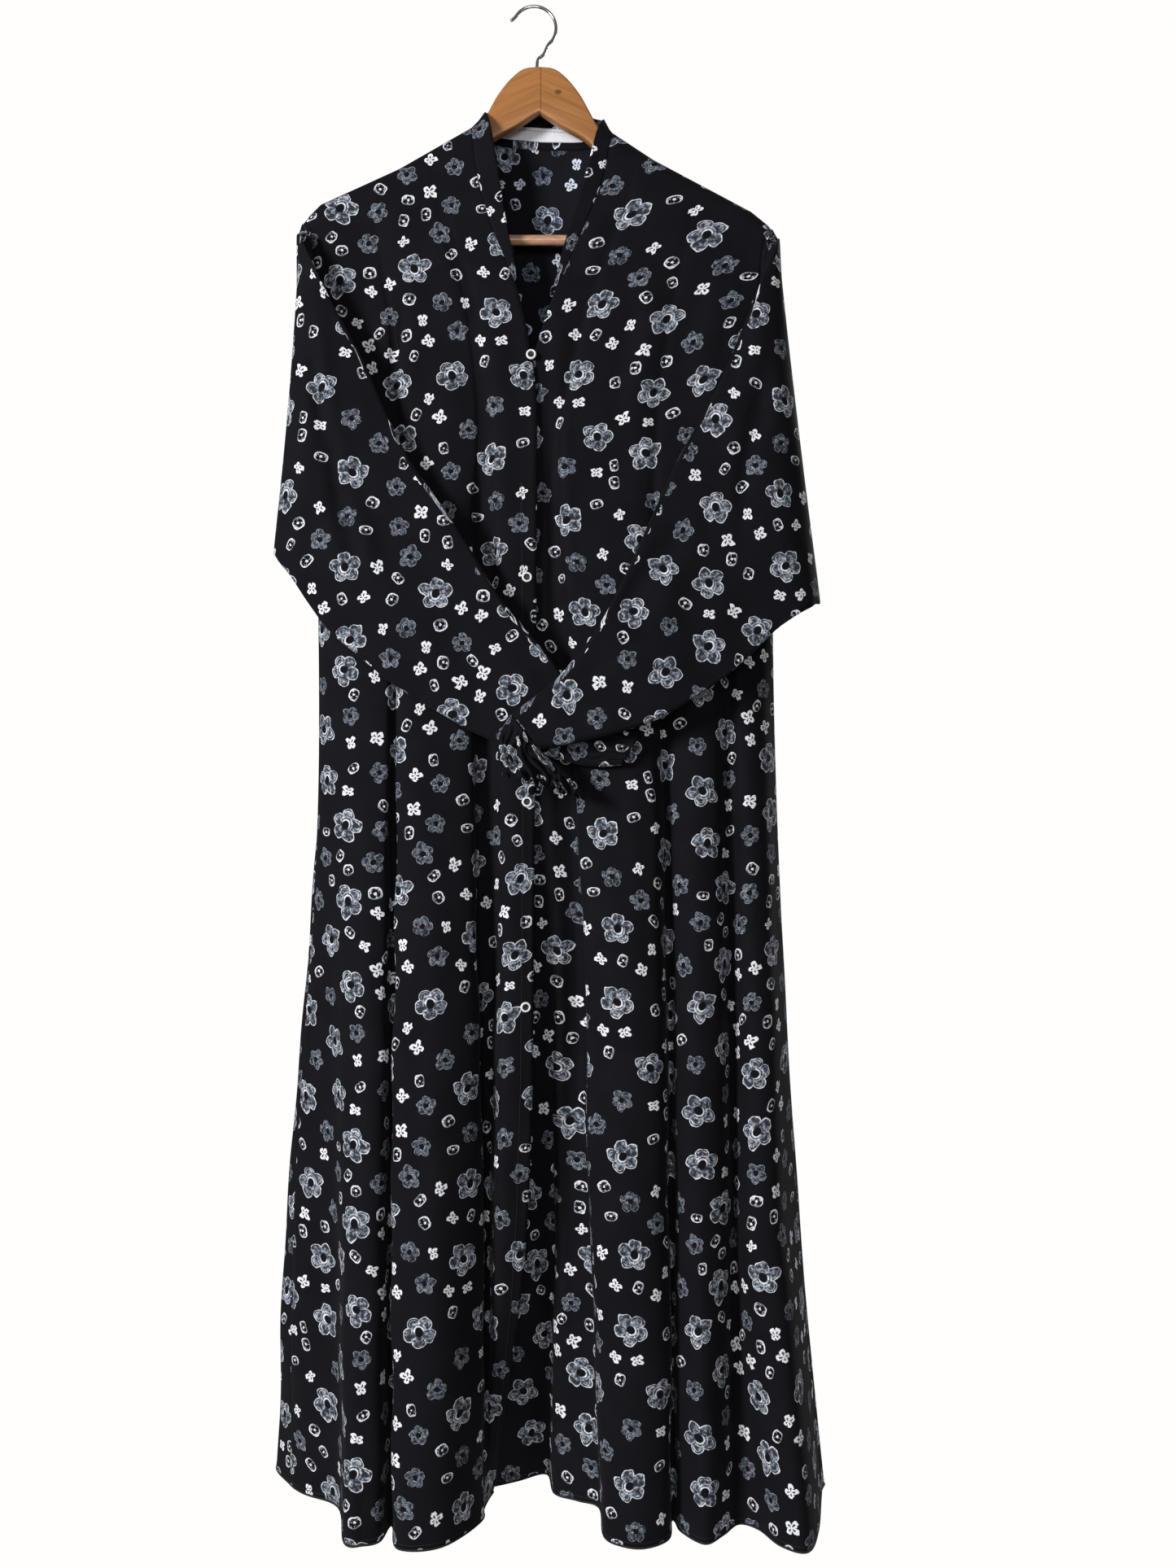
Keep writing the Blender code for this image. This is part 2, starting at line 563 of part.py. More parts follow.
def mesh_of(made):
    """A curve object as a closed mesh, with its caps welded."""
    graph = bpy.context.evaluated_depsgraph_get()
    mesh = bpy.data.meshes.new_from_object(made.evaluated_get(graph))
    bm = bmesh.new()
    bm.from_mesh(mesh)
    bmesh.ops.remove_doubles(bm, verts=bm.verts, dist=1e-6)
    bm.to_mesh(mesh)
    bm.free()
    return mesh


def build_hanger(collection):
    outline = [(WOOD_MIDDLE_X + x, z) for x, z in WOOD_HALF_OUTLINE]
    outline += [(WOOD_MIDDLE_X - x, z) for x, z in WOOD_HALF_OUTLINE[-2:0:-1]]
    curve = bpy.data.curves.new("hanger_outline", "CURVE")
    curve.dimensions = "2D"
    curve.fill_mode = "BOTH"
    curve.extrude = (WOOD_HALF - WOOD_CHAMFER) * MM
    curve.bevel_depth = WOOD_CHAMFER * MM
    curve.bevel_resolution = 0
    curve.offset = -WOOD_CHAMFER * MM
    line = curve.splines.new("POLY")
    line.points.add(len(outline) - 1)
    for point, (x, z) in zip(line.points, outline):
        point.co = (x * MM, z * MM, 0, 1)
    line.use_cyclic_u = True
    flat = bpy.data.objects.new("hanger_outline", curve)
    collection.objects.link(flat)
    flat.rotation_euler = (math.radians(90), 0, 0)
    bpy.context.view_layer.update()
    body = add("hanger_body", mesh_of(flat), WOOD, collection)
    body.matrix_world = flat.matrix_world.copy()
    bpy.data.objects.remove(flat)

    hook_x, hook_z = HOOK_CENTRE
    path = [(0.0, WOOD_HALF_OUTLINE[0][1] + SEAM_GAP), (0.0, -55.0), (1.5, -50.0), (6.5, -45.5)]
    for degrees in range(-50, 151, 20):
        angle = math.radians(degrees)
        path.append((hook_x + HOOK_RADIUS * math.cos(angle), hook_z + HOOK_RADIUS * math.sin(angle)))
    path.append((path[-1][0] - 4.0, path[-1][1] - 3.5))
    route = spline(path, 3)
    curve = bpy.data.curves.new("hook_route", "CURVE")
    curve.dimensions = "3D"
    curve.bevel_depth = HOOK_WIRE * MM
    curve.bevel_resolution = 1
    curve.use_fill_caps = True
    line = curve.splines.new("POLY")
    line.points.add(len(route) - 1)
    for point, (x, z) in zip(line.points, route):
        point.co = (x * MM, 0, z * MM, 1)
    wire = bpy.data.objects.new("hook_route", curve)
    collection.objects.link(wire)
    bpy.context.view_layer.update()
    add("hanger_hook", mesh_of(wire), STEEL, collection)
    bpy.data.objects.remove(wire)

    bpy.ops.mesh.primitive_cylinder_add(radius=BAR_RADIUS * MM, depth=2 * BAR_HALF_LENGTH * MM,
                                        vertices=16)
    bar = bpy.context.object
    bar.name = "trouser_bar"
    bar.location = (WOOD_MIDDLE_X * MM, 0, BAR_Z * MM)
    bar.rotation_euler = (0, math.radians(90), 0)
    bar.data.materials.append(material(BAR_WOOD))
    for other in bar.users_collection:
        other.objects.unlink(bar)
    collection.objects.link(bar)


def main():
    for old in list(bpy.data.objects):
        bpy.data.objects.remove(old)
    collection = bpy.data.collections.new("abaya_cloak")
    bpy.context.scene.collection.children.link(collection)
    build_hanger(collection)
    panels = build_body(collection)
    build_collar(panels, collection)
    build_sleeves(collection)
    build_snaps(panels, collection)


main()
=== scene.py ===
"""Looks of an open-front cloak with long sleeves on a wooden clothes hanger.

Lengths in the tables are millimetres, in the frame's own axes: X to the viewer's right, Y away
from the viewer, Z up, with the origin on the inner crown of the hanger's hook.
"""

import math

import bmesh
import bpy
import numpy as np
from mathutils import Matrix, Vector


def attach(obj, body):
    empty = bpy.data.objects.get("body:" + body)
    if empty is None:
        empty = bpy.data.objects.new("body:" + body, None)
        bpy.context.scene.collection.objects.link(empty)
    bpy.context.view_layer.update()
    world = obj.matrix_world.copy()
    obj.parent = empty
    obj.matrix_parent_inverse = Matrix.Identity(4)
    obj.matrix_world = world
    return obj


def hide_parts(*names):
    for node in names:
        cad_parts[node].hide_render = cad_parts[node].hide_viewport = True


MM = 0.001
MERGE_WITHIN = 1e-6

# Camera and surroundings, in metres, with lens and sensor in millimetres
CAMERA_PLACE = (0.05, -1.25, -0.763)
CAMERA_LENS = 29.19
CAMERA_SENSOR = 36.0
CAMERA_REACH = 100.0
FLOOR_Z = -2.2
FLOOR_SIZE = 2.0

# Cloth: its wall, its seams, the heights of the sections and the fineness of its grid
CLOTH_WALL = 0.5
COLLAR_WALL = 1.0
TAPE_WALL = 0.8
SEAM_GAP = 0.3
SEAM_LAP = 1.4
SEAM_INSET = 0.5
CHEST_Z = -475.0
WAIST_Z = -795.0
KNEE_Z = -1185.0
HEM_Z = -1465.0
SHOULDER_ROUND = 14.0
SHOULDER_DEPTH = 13.0
ARMHOLE_HALF = 14.0
SLEEVE_LAP = 1.0
SLEEVE_STAND = 1.5
CAP_SHARE = 0.022
CAP_RISE = 1.4
COLUMNS_PER_ROW = 8
ROWS_BELOW = (64, 78, 56)
SHOULDER_SHARES = (0.0, 0.004, 0.008, 0.012, 0.018, 0.026, 0.036, 0.045)
ROWS_ABOVE = 60
HEM_ROLL = 1.1
HEM_RAISED = 0.4
HEM_SIDES = 10

# Hanger: half of the wood's thickness, its rounding, the hook's wire and its bends, the bar
WOOD_HALF = 5.5
WOOD_ROUND = 2.4
SHARP_ANGLE = math.radians(40)
HOOK_WIRE = 1.5
HOOK_RADIUS = 21.5
HOOK_CENTRE = (-3.0, -20.0)
HOOK_STEM = ((0.0, -64.0), (0.0, -55.0), (1.5, -50.0), (6.5, -45.5))
HOOK_TURN = range(-50, 151, 20)
HOOK_TAIL = (-4.0, -3.5)
HOOK_STEPS = 8
HOOK_SIDES = 20
BAR_RADIUS = 5.0
BAR_Z = -228.5
BAR_HALF_LENGTH = 200.3
BAR_SIDES = 48

# Unevenness: its depth, its count of ripples, and how wide, tall and slanted they are
CLOTH_UNEVEN = 1.0
SLEEVE_UNEVEN = 0.8
RIPPLES = 7
RIPPLE_WIDTHS = (45, 130)
RIPPLE_HEIGHTS = (90, 320)
RIPPLE_SLANTS = (-0.3, 0.3)
RIPPLE_SUM = 2.6

# Creases: how far and how often they wander, where along them they rise and fade, and how many
# columns, rows and rings from an edge the cloth is held still
CREASE_WANDER = 0.35
CREASE_BENDS = 7.0
CREASE_RISES = (-0.12, 0.3)
CREASE_FADES = (0.6, 1.12)
STILL_COLUMNS = (0, 5)
STILL_ROWS = (3, 14)
STILL_AT_ARMHOLE = (12, 30)
STILL_AT_WRIST = (2, 14)
FACING_VIEWER = (0.2, 0.8)

# Fineness of collar, tape, sleeves and cuffs
COLLAR_ROWS = 9
TAPE_ROWS = 9
SLEEVE_STEPS = 10
RING_STEPS = 4
CUFF_STEPS = 9
RING_SPOTS = (1.0, 0.5, 0.0, -0.5, -1.0)
RING_BENDS = tuple(math.radians(degrees) for degrees in (45, 90, 135))
ARMHOLE_SPOTS = (0.07, 0.26, 0.45, 0.64, 0.83)
UNDERARM_SHARE = 0.9
UNDERARM_NARROWS = (0.88, 0.8)
UNDERARM_DROPS = (2, 8)

# Sewing: stitches' distance, length and thread, and their rows from the cloth's edges
STITCH_SPACING = 3.1
STITCH_LENGTH = 2.3
STITCH_RADIUS = 0.26
STITCH_SIDES = 6
HEM_STITCH_ROW = 2
EDGE_STITCH_COLUMN = 3
THREAD_SUNK = 0.4

# Snap fasteners: reach from the middle and lift off the cloth, from the socket's floor outwards
SNAP_PROFILE = ((1.6, 0.5), (2.4, 0.5), (2.7, 0.9), (3.0, 1.5), (3.7, 2.1), (4.4, 1.9), (5.0, 1.1),
                (4.9, 0.2), (4.6, -0.3))
SNAP_DARK = 2.9
SNAP_SIDES = 40
SNAP_COLUMNS = 30

# Finishes
CLOTH_ROUGHNESS = 0.82
CLOTH_SHEEN = 0.02
CLOTH_SHEEN_ROUGHNESS = 0.45
CLOTH_GLOSS = 0.07
WEAVE_SCALE = 1400.0
WEAVE_BUMP = (0.5, 0.00025)
CLOUD_SCALE = 26.0
CLOUD_RANGE = (0.3, 0.7)
CLOUD_SHARE = 0.12
INK_WHITENS = (0.25, 0.6)
INK_ON_WEAVE = (0.3, 0.85)
CLOTH_BLACK = (0.0056, 0.0053, 0.0076)
# Reverse face: the print showing through the cloth, a little weaker; its bluer ground is painted shade,
# the cool cast of the cloak's shaded inside
CLOTH_BLACK_REVERSE_PAINTED_SHADE = (0.0068, 0.0070, 0.0105)
INK_FRONT = (0.86, 0.87, 0.91)
# Bluer than the front's ink: painted shade tint of the cloak's shaded inside
INK_REVERSE_PAINTED_SHADE = (0.78, 0.83, 0.95)
INK_GREY_TINT = (0.82, 0.92, 1.06)
PLAIN_FINISHES = {
    # name: colour, roughness, fineness and strength of its clouds, depth of its bumps in metres
    "hem_black": ((0.006, 0.006, 0.007), 0.8, 300.0, 0.12, 0.0003),
    "thread_black": ((0.007, 0.007, 0.009), 0.7, 900.0, 0.12, 0.0003),
    "tape_twill": ((0.72, 0.72, 0.77), 0.8, 500.0, 0.12, 0.0003),
    "tape_thread": ((0.3, 0.3, 0.34), 0.8, 500.0, 0.12, 0.0003),
    "snap_white": ((0.78, 0.78, 0.78), 0.35, 400.0, 0.12, 0.0003),
    "snap_socket": ((0.004, 0.004, 0.005), 0.4, 400.0, 0.12, 0.0003),
    "hook_plating": ((0.72, 0.72, 0.72), 0.16, 60.0, 0.05, 0.00005),
    "floor_pale": ((0.93, 0.92, 0.91), 0.9, 3.0, 0.01, 0.0003),
}
HANGER_WOOD = ((0.41, 0.175, 0.052), (0.31, 0.122, 0.034))
BAR_WOOD = ((0.52, 0.29, 0.18), (0.42, 0.21, 0.12))
WOOD_ROUGHNESS = 0.38
WOOD_COAT = 0.35
WOOD_COAT_ROUGHNESS = 0.2
GRAIN = (9.0, 60.0, 150.0)
GRAIN_LEAN = 0.42
GRAIN_RANGE = (0.3, 0.72)
KNOT_PLACE = (0.0208, -0.0855)
KNOT_EDGE = (0.0042, 0.0024)
KNOT_BROWN = (0.055, 0.018, 0.006, 1.0)
JOINT_X = 0.0038
JOINT_EDGE = (0.0005, 0.0002)
JOINT_BROWN = (0.06, 0.02, 0.007, 1.0)
SURROUND = (1.0, 0.99, 0.98)
SURROUND_GLOW = 0.13
LAMPS = (
    # name, place, aim, size, watts
    ("key", (-2.3, -2.35, 0.0), (0.0, 0.0, -0.8), (0.8, 0.8), 116.0),
    ("fill", (0.1, -3.2, -0.3), (0.0, 0.0, -0.8), (1.2, 1.2), 26.0),
    ("back", (2.7, 2.4, 0.4), (0.0, 0.0, -0.8), (1.0, 1.0), 60.0),
)

# Where each sheet's flat cloth lies on the print's repeat: its shift across and down
PRINT_OFFSETS = {
    "front_left": (0.0, 0.0), "front_right": (140.0, 60.0), "back": (70.0, 130.0),
    "collar": (30.0, 210.0), "sleeve_left": (210.0, 20.0), "sleeve_right": (100.0, 250.0),
    "cuff_left": (50.0, 90.0), "cuff_right": (250.0, 170.0),
}

# The print: a repeat of flowers and rings, with each kind's radius and how many a repeat holds
REPEAT = 300.0
PRINT_SEED = 11
PRINT_TRIES = 60
PRINT_BATCH = 4000
PRINT_ROOM = 0.8
PRINT_SIZES = (0.92, 1.06)
PRINT_KINDS = (
    # name, radius, count, smallest gap to the next
    ("big_flower", 16.4, 18, 0.5),
    ("dim_flower", 10.0, 20, 0.8),
    ("cluster", 6.3, 30, 1.2),
    ("ring", 6.3, 34, 1.2),
)

FRONT_LEFT = (
    # name, chest x, y, waist x, y, knee x, y, hem x, y
    ("edge", 1, -30, -1, -36, -8, -36, -44, 10),
    ("strip", -36, -30, -29, -38, -35, -42, -47, 2),
    ("valley_a", -46, -25, -42, -22, -45, -10, -50, -9),
    ("valley_b", -55, -25, -58, -23, -52, -14, -52, -21),
    ("fold_a_right", -63, -29, -62, -40, -53, -45, -53, -40),
    ("fold_a", -96, -31, -95, -50, -88, -74, -84, -80),
    ("fold_a_left", -128, -29, -129, -46, -129, -68, -124, -84),
    ("valley_c", -133, -25, -134, -32, -135, -40, -134, -50),
    ("valley_c_end", -137, -25, -138, -32, -139, -40, -138, -50),
    ("fold_b_right", -142, -28, -143, -43, -144, -61, -143, -72),
    ("fold_b", -160, -28, -165, -42, -157, -66, -157, -78),
    ("fold_b_left", -178, -26, -184, -36, -177, -56, -175, -74),
    ("side_a", -191, -22, -198, -25, -195, -20, -193, -16),
    ("side_b", -205, -14, -210, -11, -226, -3, -235, 10),
    ("seam", -216, 0, -216, 2, -241, 10, -248, 24),
)
FRONT_RIGHT = (
    ("edge", -24, -25, -26, -31, -31, -20, -56, 17),
    ("under", -3, -25, -3, -31, -8, -14, -20, 31),
    ("recess_a", 8, -23, 12, -27, 15, 8, 8, 43),
    ("recess_b", 15, -21, 22, -22, 22, -1, 17, 8),
    ("recess_c", 20, -22, 31, -21, 35, -7, 40, -4),
    ("recess_d", 24, -27, 38, -25, 44, -20, 61, -18),
    ("fold_c_left", 32, -30, 43, -42, 47, -57, 65, -64),
    ("fold_c", 60, -31, 72, -50, 75, -72, 83, -80),
    ("fold_c_mid", 90, -31, 105, -48, 106, -72, 104, -82),
    ("fold_c_right", 104, -29, 117, -40, 124, -58, 125, -68),
    ("valley_d", 112, -26, 124, -24, 128, -32, 129, -40),
    ("valley_d_end", 116, -26, 128, -24, 132, -32, 133, -40),
    ("fold_d_left", 124, -28, 136, -36, 137, -54, 138, -57),
    ("fold_d", 145, -29, 154, -42, 155, -66, 158, -76),
    ("fold_d_right", 165, -28, 172, -36, 176, -54, 176, -62),
    ("valley_e", 178, -25, 187, -18, 190, -28, 193, -44),
    ("fold_e_left", 188, -24, 197, -30, 198, -48, 211, -53),
    ("fold_e", 200, -20, 208, -32, 212, -61, 228, -79),
    ("fold_e_right", 212, -17, 221, -24, 230, -58, 251, -88),
    ("side", 222, -12.5, 230, -11, 245, -28, 267, -52),
    ("seam", 229, 0, 236, 2, 257, 6, 281, 10),
)
BACK = (
    # name, top x, chest x, y, waist x, y, knee x, y, hem x, y
    ("wing_left", -222, -207, 12, -216, 14, -252, 28, -269, 56),
    ("turn_left", -205, -190, 19, -203, 25, -240, 46, -258, 80),
    ("fold_1", -180, -165, 22, -172, 34, -205, 60, -222, 90),
    ("valley_1", -153, -140, 22, -146, 24, -172, 38, -184, 60),
    ("fold_2", -122, -112, 23, -116, 35, -132, 62, -145, 92),
    ("valley_2", -92, -86, 22, -88, 25, -98, 40, -106, 62),
    ("fold_3", -63, -58, 23, -60, 36, -64, 62, -68, 91),
    ("valley_3", -52, -30, 22, -32, 26, -32, 42, -30, 66),
    ("fold_4", 4, 0, 23, -1, 37, 2, 64, 6, 92),
    ("valley_4", 62, 30, 22, 30, 26, 36, 42, 42, 64),
    ("fold_5", 73, 58, 23, 60, 36, 70, 62, 80, 90),
    ("valley_5", 103, 88, 22, 90, 25, 104, 38, 116, 58),
    ("fold_6", 132, 116, 23, 120, 35, 138, 58, 154, 84),
    ("valley_6", 160, 146, 22, 150, 24, 172, 34, 188, 50),
    ("fold_7", 186, 174, 21, 180, 32, 212, 46, 232, 64),
    ("turn_right", 208, 198, 18, 208, 24, 242, 34, 266, 46),
    ("wing_right", 223, 218, 11, 231, 14, 258, 20, 286, 28),
)
NECK_LEFT, NECK_RIGHT = "fold_3", "fold_5"
TOP_EDGE = (
    # x, z, y where it leaves the plane of the shoulder seams
    (-231, -214, 0), (-212, -195, 0), (-135, -160, 0), (-63, -119, 0),
    (-59, -121, 10), (-52, -123, 13), (-34, -127, 18), (4, -129, 21), (42, -131, 18),
    (62, -128, 13), (69, -126, 10), (73, -124, 0), (114, -151, 0), (210, -202, 0), (231, -219, 0),
)
EDGE_SHARES = (0.0, 0.045, 0.15, 0.3, 0.48, 0.66, 0.83, 1.0)
NECK_EDGE_LEFT = ((-63, -119), (-61, -137), (-56, -172), (-42, -222), (-20, -278), (-7, -335),
                  (1, -405), (1, -475))
NECK_EDGE_RIGHT = ((73, -124), (70, -141), (63, -175), (43, -226), (18, -285), (-3, -350),
                   (-18, -412), (-24, -475))
ARMHOLE_LEFT = ((-231, -214), (-224, -226), (-217, -253), (-213, -292), (-212, -339),
                (-214, -386), (-216, -431), (-216, -475))
ARMHOLE_RIGHT = ((231, -219), (227, -230), (222, -256), (221, -294), (222, -341),
                 (225, -387), (228, -431), (229, -475))
ARMHOLE_OPENS = (0.0, 0.06)
ARMHOLE_CLOSES = (0.82, 0.95)

COLLAR = (
    # share of its length, x, y, z of its stand
    (0.0, 2.5, 0, 4), (0.125, 15, -1, 3), (0.23, 20, -3, 6), (0.3, 18, -5, 9),
    (0.34, 13, 0, 17), (0.40, 3, -3, 31), (0.50, 0, -3, 35), (0.58, -2, -3, 31),
    (0.655, -9, 0, 14),
    (0.69, -14, -3, 7), (0.77, -17, -2, 3), (0.87, -13, -1, 3), (1.0, -2.5, 0, 4),
)
COLLAR_DOWN = 0.48
COLLAR_TUCK = 1.2
TAPE_SPAN = (7.5, 21.0)
TAPE_LIFT = 1.6
TAPE_ARCH = 0.3

SLEEVE_LEFT = (
    # name, top x, y, z, bottom x, y, z, half, bow, face
    ("turn_1", -230, -9, -223, -226, -10, -486, 8, -4, 40),
    ("fold", -222, -21, -233, -246, -22, -534, 5, -2, 90),
    ("turn_2", -220, -32, -243, -243, -35, -547, 6, -2, 140),
    ("upper_1", -208, -41, -276, -230, -46, -567, 6, 1, 180),
    ("upper_2", -190, -42, -312, -212, -48, -594, 6, 2, 180),
    ("upper_3", -165, -43, -358, -192, -51, -620, 6, 2, 180),
    ("elbow_1", -140, -44, -415, -166, -53, -642, 6, 2, 180),
    ("elbow_2", -116, -46, -461, -140, -54, -664, 6, 2, 180),
    ("lower_1", -90, -48, -497, -113, -55, -682, 6, 2, 180),
    ("lower_2", -64, -50, -537, -86, -55, -698, 6, 2, 180),
    ("lower_3", -38, -53, -580, -58, -55, -714, 6, 1, 180),
    ("lower_4", -13, -55, -612, -27, -56, -727, 5.5, 0, 180),
    ("lower_5", 11, -56, -640, 0, -56, -735, 5, 0, 180),
    ("wrist", 34, -56, -674, 22, -57, -738, 4.5, 0, 180),
)
SLEEVE_RIGHT = (
    ("turn_1", 232, -9, -227, 238, -10, -500, 8, -4, 40),
    ("fold", 228, -21, -240, 267, -22, -578, 5, -1, 90),
    ("turn_2", 226, -32, -250, 262, -35, -591, 6, -2, 140),
    ("upper_1", 214, -41, -286, 248, -46, -602, 6, 1, 180),
    ("upper_2", 198, -43, -328, 226, -50, -618, 6, 2, 180),
    ("upper_3", 175, -45, -382, 206, -53, -638, 6, 2, 180),
    ("elbow_1", 152, -47, -425, 186, -57, -656, 6, 2, 180),
    ("elbow_2", 130, -51, -467, 165, -63, -672, 6, 2, 180),
    ("lower_1", 110, -58, -512, 141, -69, -688, 6, 2, 180),
    ("lower_2", 88, -66, -562, 112, -74, -704, 6, 2, 180),
    ("lower_3", 58, -74, -620, 76, -76, -716, 6, 1, 180),
    ("lower_4", 26, -76, -660, 42, -77, -724, 6, 0, 180),
    ("lower_5", 3, -77, -681, 22, -77, -728, 6, 0, 180),
    ("wrist", -21, -77, -698, 5, -77, -730, 6, 0, 180),
)
CUFF_LEFT = (
    # name, top x, y, z, bottom x, y, z, half, wave
    ("band", 34.4, -56, -674.1, 22.4, -57, -738.1, 4.5, 0),
    ("elastic", 46, -57, -689, 35, -57, -743, 4.2, 1.2),
    ("ruffle_1", 62, -57, -701, 50, -57, -746, 4.4, 1.8),
    ("ruffle_2", 80, -57, -711, 67, -57, -746, 4.6, 2.2),
    ("ruffle_edge", 97, -57, -719, 82, -57, -744, 4.4, 2.6),
)
CUFF_RIGHT = (
    ("band", -21.5, -77, -698.4, 3.7, -77, -731.1, 6, 0),
    ("elastic", -29, -77, -712, 14, -77, -739, 5, 1.6),
    ("ruffle_1", -33, -76, -726, 26, -77, -750, 5.5, 3.8),
    ("ruffle_2", -32, -75, -741, 38, -77, -763, 6.5, 5),
    ("ruffle_edge", -29, -74, -753, 47, -77, -776, 7, 5.5),
)
CUFF_POINTS = 456
CUFF_ROUNDNESS = 0.7

SNAPS = ((-7, -348), (-7, -566), (-9, -778), (-9, -974))

WOOD_MIDDLE_X = 2.0
WOOD_HALF_OUTLINE = (
    (0, -60), (15, -62), (28, -72), (40, -87), (48, -101), (55, -114), (61, -123), (66, -127),
    (102, -150), (137, -170), (192, -199), (209, -209), (218, -218), (219, -228), (216, -236),
    (210, -239), (200.7, -237), (200.7, -223), (176, -211), (136, -190), (66, -148), (44, -130),
    (20, -117), (0, -104),
)

# Soft creases: where each starts and ends as seen from the front, its half width, and how far
# it stands out of the cloth (a trough where negative)
FRONT_CREASES = (
    # x, z, x, z, half width, push
    (-131, -290, -140, -415, 8, -5.0),
    (-56, -455, -44, -570, 9, -5.5),
    (-118, -250, -128, -420, 16, 2.0),
    (24, -330, 27, -640, 10, 3.0),
    (14, -330, 17, -640, 8, -3.0),
    (110, -250, 96, -430, 14, 2.2),
    (92, -270, 80, -440, 10, -2.0),
    (160, -260, 140, -400, 12, -2.0),
    (-168, -262, -158, -380, 10, -1.8),
    (-88, -210, -76, -340, 14, 1.6),
    (60, -215, 48, -330, 12, 1.5),
    (-30, -560, -34, -1000, 8, -1.2),
    (60, -900, 64, -1300, 9, -1.5),
    (15, -790, 36, -1440, 8, 5.0),
    (33, -780, 56, -1440, 6.5, -8.0),
    (-105, -900, -108, -1250, 9, -1.6),
    (95, -700, 92, -1100, 8, 1.2),
    (-158, -800, -160, -1300, 7, 1.2),
    (150, -820, 146, -1200, 7, 1.2),
)
BACK_CREASES = (
    (-150, -200, -120, -420, 14, 2.5),
    (150, -210, 118, -430, 14, 2.5),
    (-60, -180, -70, -430, 12, -2.0),
    (64, -190, 74, -440, 12, -2.0),
    (-100, -430, -96, -700, 10, 2.0),
    (104, -430, 100, -720, 10, 2.0),
    (0, -240, 2, -500, 16, 1.5),
)
SLEEVE_CREASES_LEFT = (
    (-221, -330, -187, -470, 5, -6.0),
    (-210, -320, -178, -470, 9, 3.6),
    (-196, -440, -162, -580, 5, -6.0),
    (-184, -440, -152, -570, 9, 3.2),
    (-226, -440, -180, -560, 9, 2.2),
    (-180, -480, -110, -590, 9, -2.0),
    (-150, -590, -60, -660, 9, 2.0),
    (-120, -620, -20, -690, 8, -2.0),
    (-70, -600, 0, -670, 7, 1.6),
)
SLEEVE_CREASES_RIGHT = (
    (223, -342, 190, -525, 6, -5.0),
    (210, -330, 176, -500, 9, 3.4),
    (146, -520, 66, -615, 7, -5.0),
    (160, -540, 84, -640, 10, 3.4),
    (206, -560, 130, -650, 9, 2.0),
    (120, -600, 30, -690, 8, -2.0),
    (90, -640, 10, -705, 7, 1.8),
    (190, -440, 150, -560, 9, -1.8),
)


def eased(t, start, end, leaving, arriving):
    """From start to end as t goes from 0 to 1, leaving and arriving at the given slopes."""
    return ((2 * t ** 3 - 3 * t ** 2 + 1) * start + (t ** 3 - 2 * t ** 2 + t) * leaving
            + (3 * t ** 2 - 2 * t ** 3) * end + (t ** 3 - t ** 2) * arriving)


def glide(x, xs, ys):
    """Smooth curve through (xs, ys) that never swings past its points."""
    xs, ys = np.asarray(xs, float), np.asarray(ys, float)
    steps, rises = np.diff(xs), np.diff(ys)
    slopes = rises / steps
    tangents = np.concatenate([[slopes[0]], np.zeros(len(xs) - 2), [slopes[-1]]])
    for i in range(1, len(xs) - 1):
        a, b = slopes[i - 1], slopes[i]
        if a * b > 0:
            tangents[i] = 2 * a * b / (a + b)
    x = np.clip(x, xs[0], xs[-1])
    i = np.clip(np.searchsorted(xs, x, side="right") - 1, 0, len(steps) - 1)
    return eased((x - xs[i]) / steps[i], ys[i], ys[i + 1], steps[i] * tangents[i],
                 steps[i] * tangents[i + 1])


def spline(rows, steps, closed=False):
    """Smooth curve through the rows, each a set of channels, with steps samples a span."""
    rows = np.array(rows, float)
    if closed:
        ends = np.concatenate([rows[-1:], rows, rows[:2]])
    else:
        ends = np.concatenate([2 * rows[:1] - rows[1:2], rows, 2 * rows[-1:] - rows[-2:-1]])
    made = []
    for i in range(len(rows) if closed else len(rows) - 1):
        before, a, b, after = ends[i:i + 4]
        for s in range(steps):
            t = s / steps
            made.append(0.5 * (2 * a + (b - before) * t
                               + (2 * before - 5 * a + 4 * b - after) * t ** 2
                               + (3 * a - before - 3 * b + after) * t ** 3))
    if not closed:
        made.append(rows[-1])
    return np.array(made)


def smooth_step(value, low, high):
    """0 to 1 as the value goes smoothly from low to high."""
    t = np.clip((value - low) / (high - low), 0.0, 1.0)
    return t * t * (3 - 2 * t)


def grid_normals(points, closed=False):
    """The unit normal at each point of a grid, whose columns may close into rings."""
    if closed:
        along = np.roll(points, -1, axis=1) - np.roll(points, 1, axis=1)
    else:
        along = np.gradient(points, axis=1)
    down = np.gradient(points, axis=0)
    normals = np.cross(along, down)
    return normals / np.maximum(np.linalg.norm(normals, axis=2, keepdims=True), 1e-9)


def along_edge(points, share):
    """X and Z at a share of the way down a neck edge or an armhole."""
    points = np.array(points, float)
    return np.array([glide(share, EDGE_SHARES, points[:, i]) for i in (0, 1)])


def top_edge(x):
    """The point of the shoulder seams and the neck above an X."""
    known = np.array(TOP_EDGE, float)
    return np.array([x, np.interp(x, known[:, 0], known[:, 2]),
                     np.interp(x, known[:, 0], known[:, 1])])


def opened(share):
    """Half of the armhole's opening, front to back, at a share of the way down it."""
    part = smooth_step(share, *ARMHOLE_OPENS) * (1 - smooth_step(share, *ARMHOLE_CLOSES))
    return ARMHOLE_HALF * part


def top_shares():
    """How far down from the shoulder seam to the chest each row of the grid lies."""
    rest = np.linspace(SHOULDER_SHARES[-1], 1.0, ROWS_ABOVE + 1)[1:-1]
    return np.concatenate([SHOULDER_SHARES, rest])


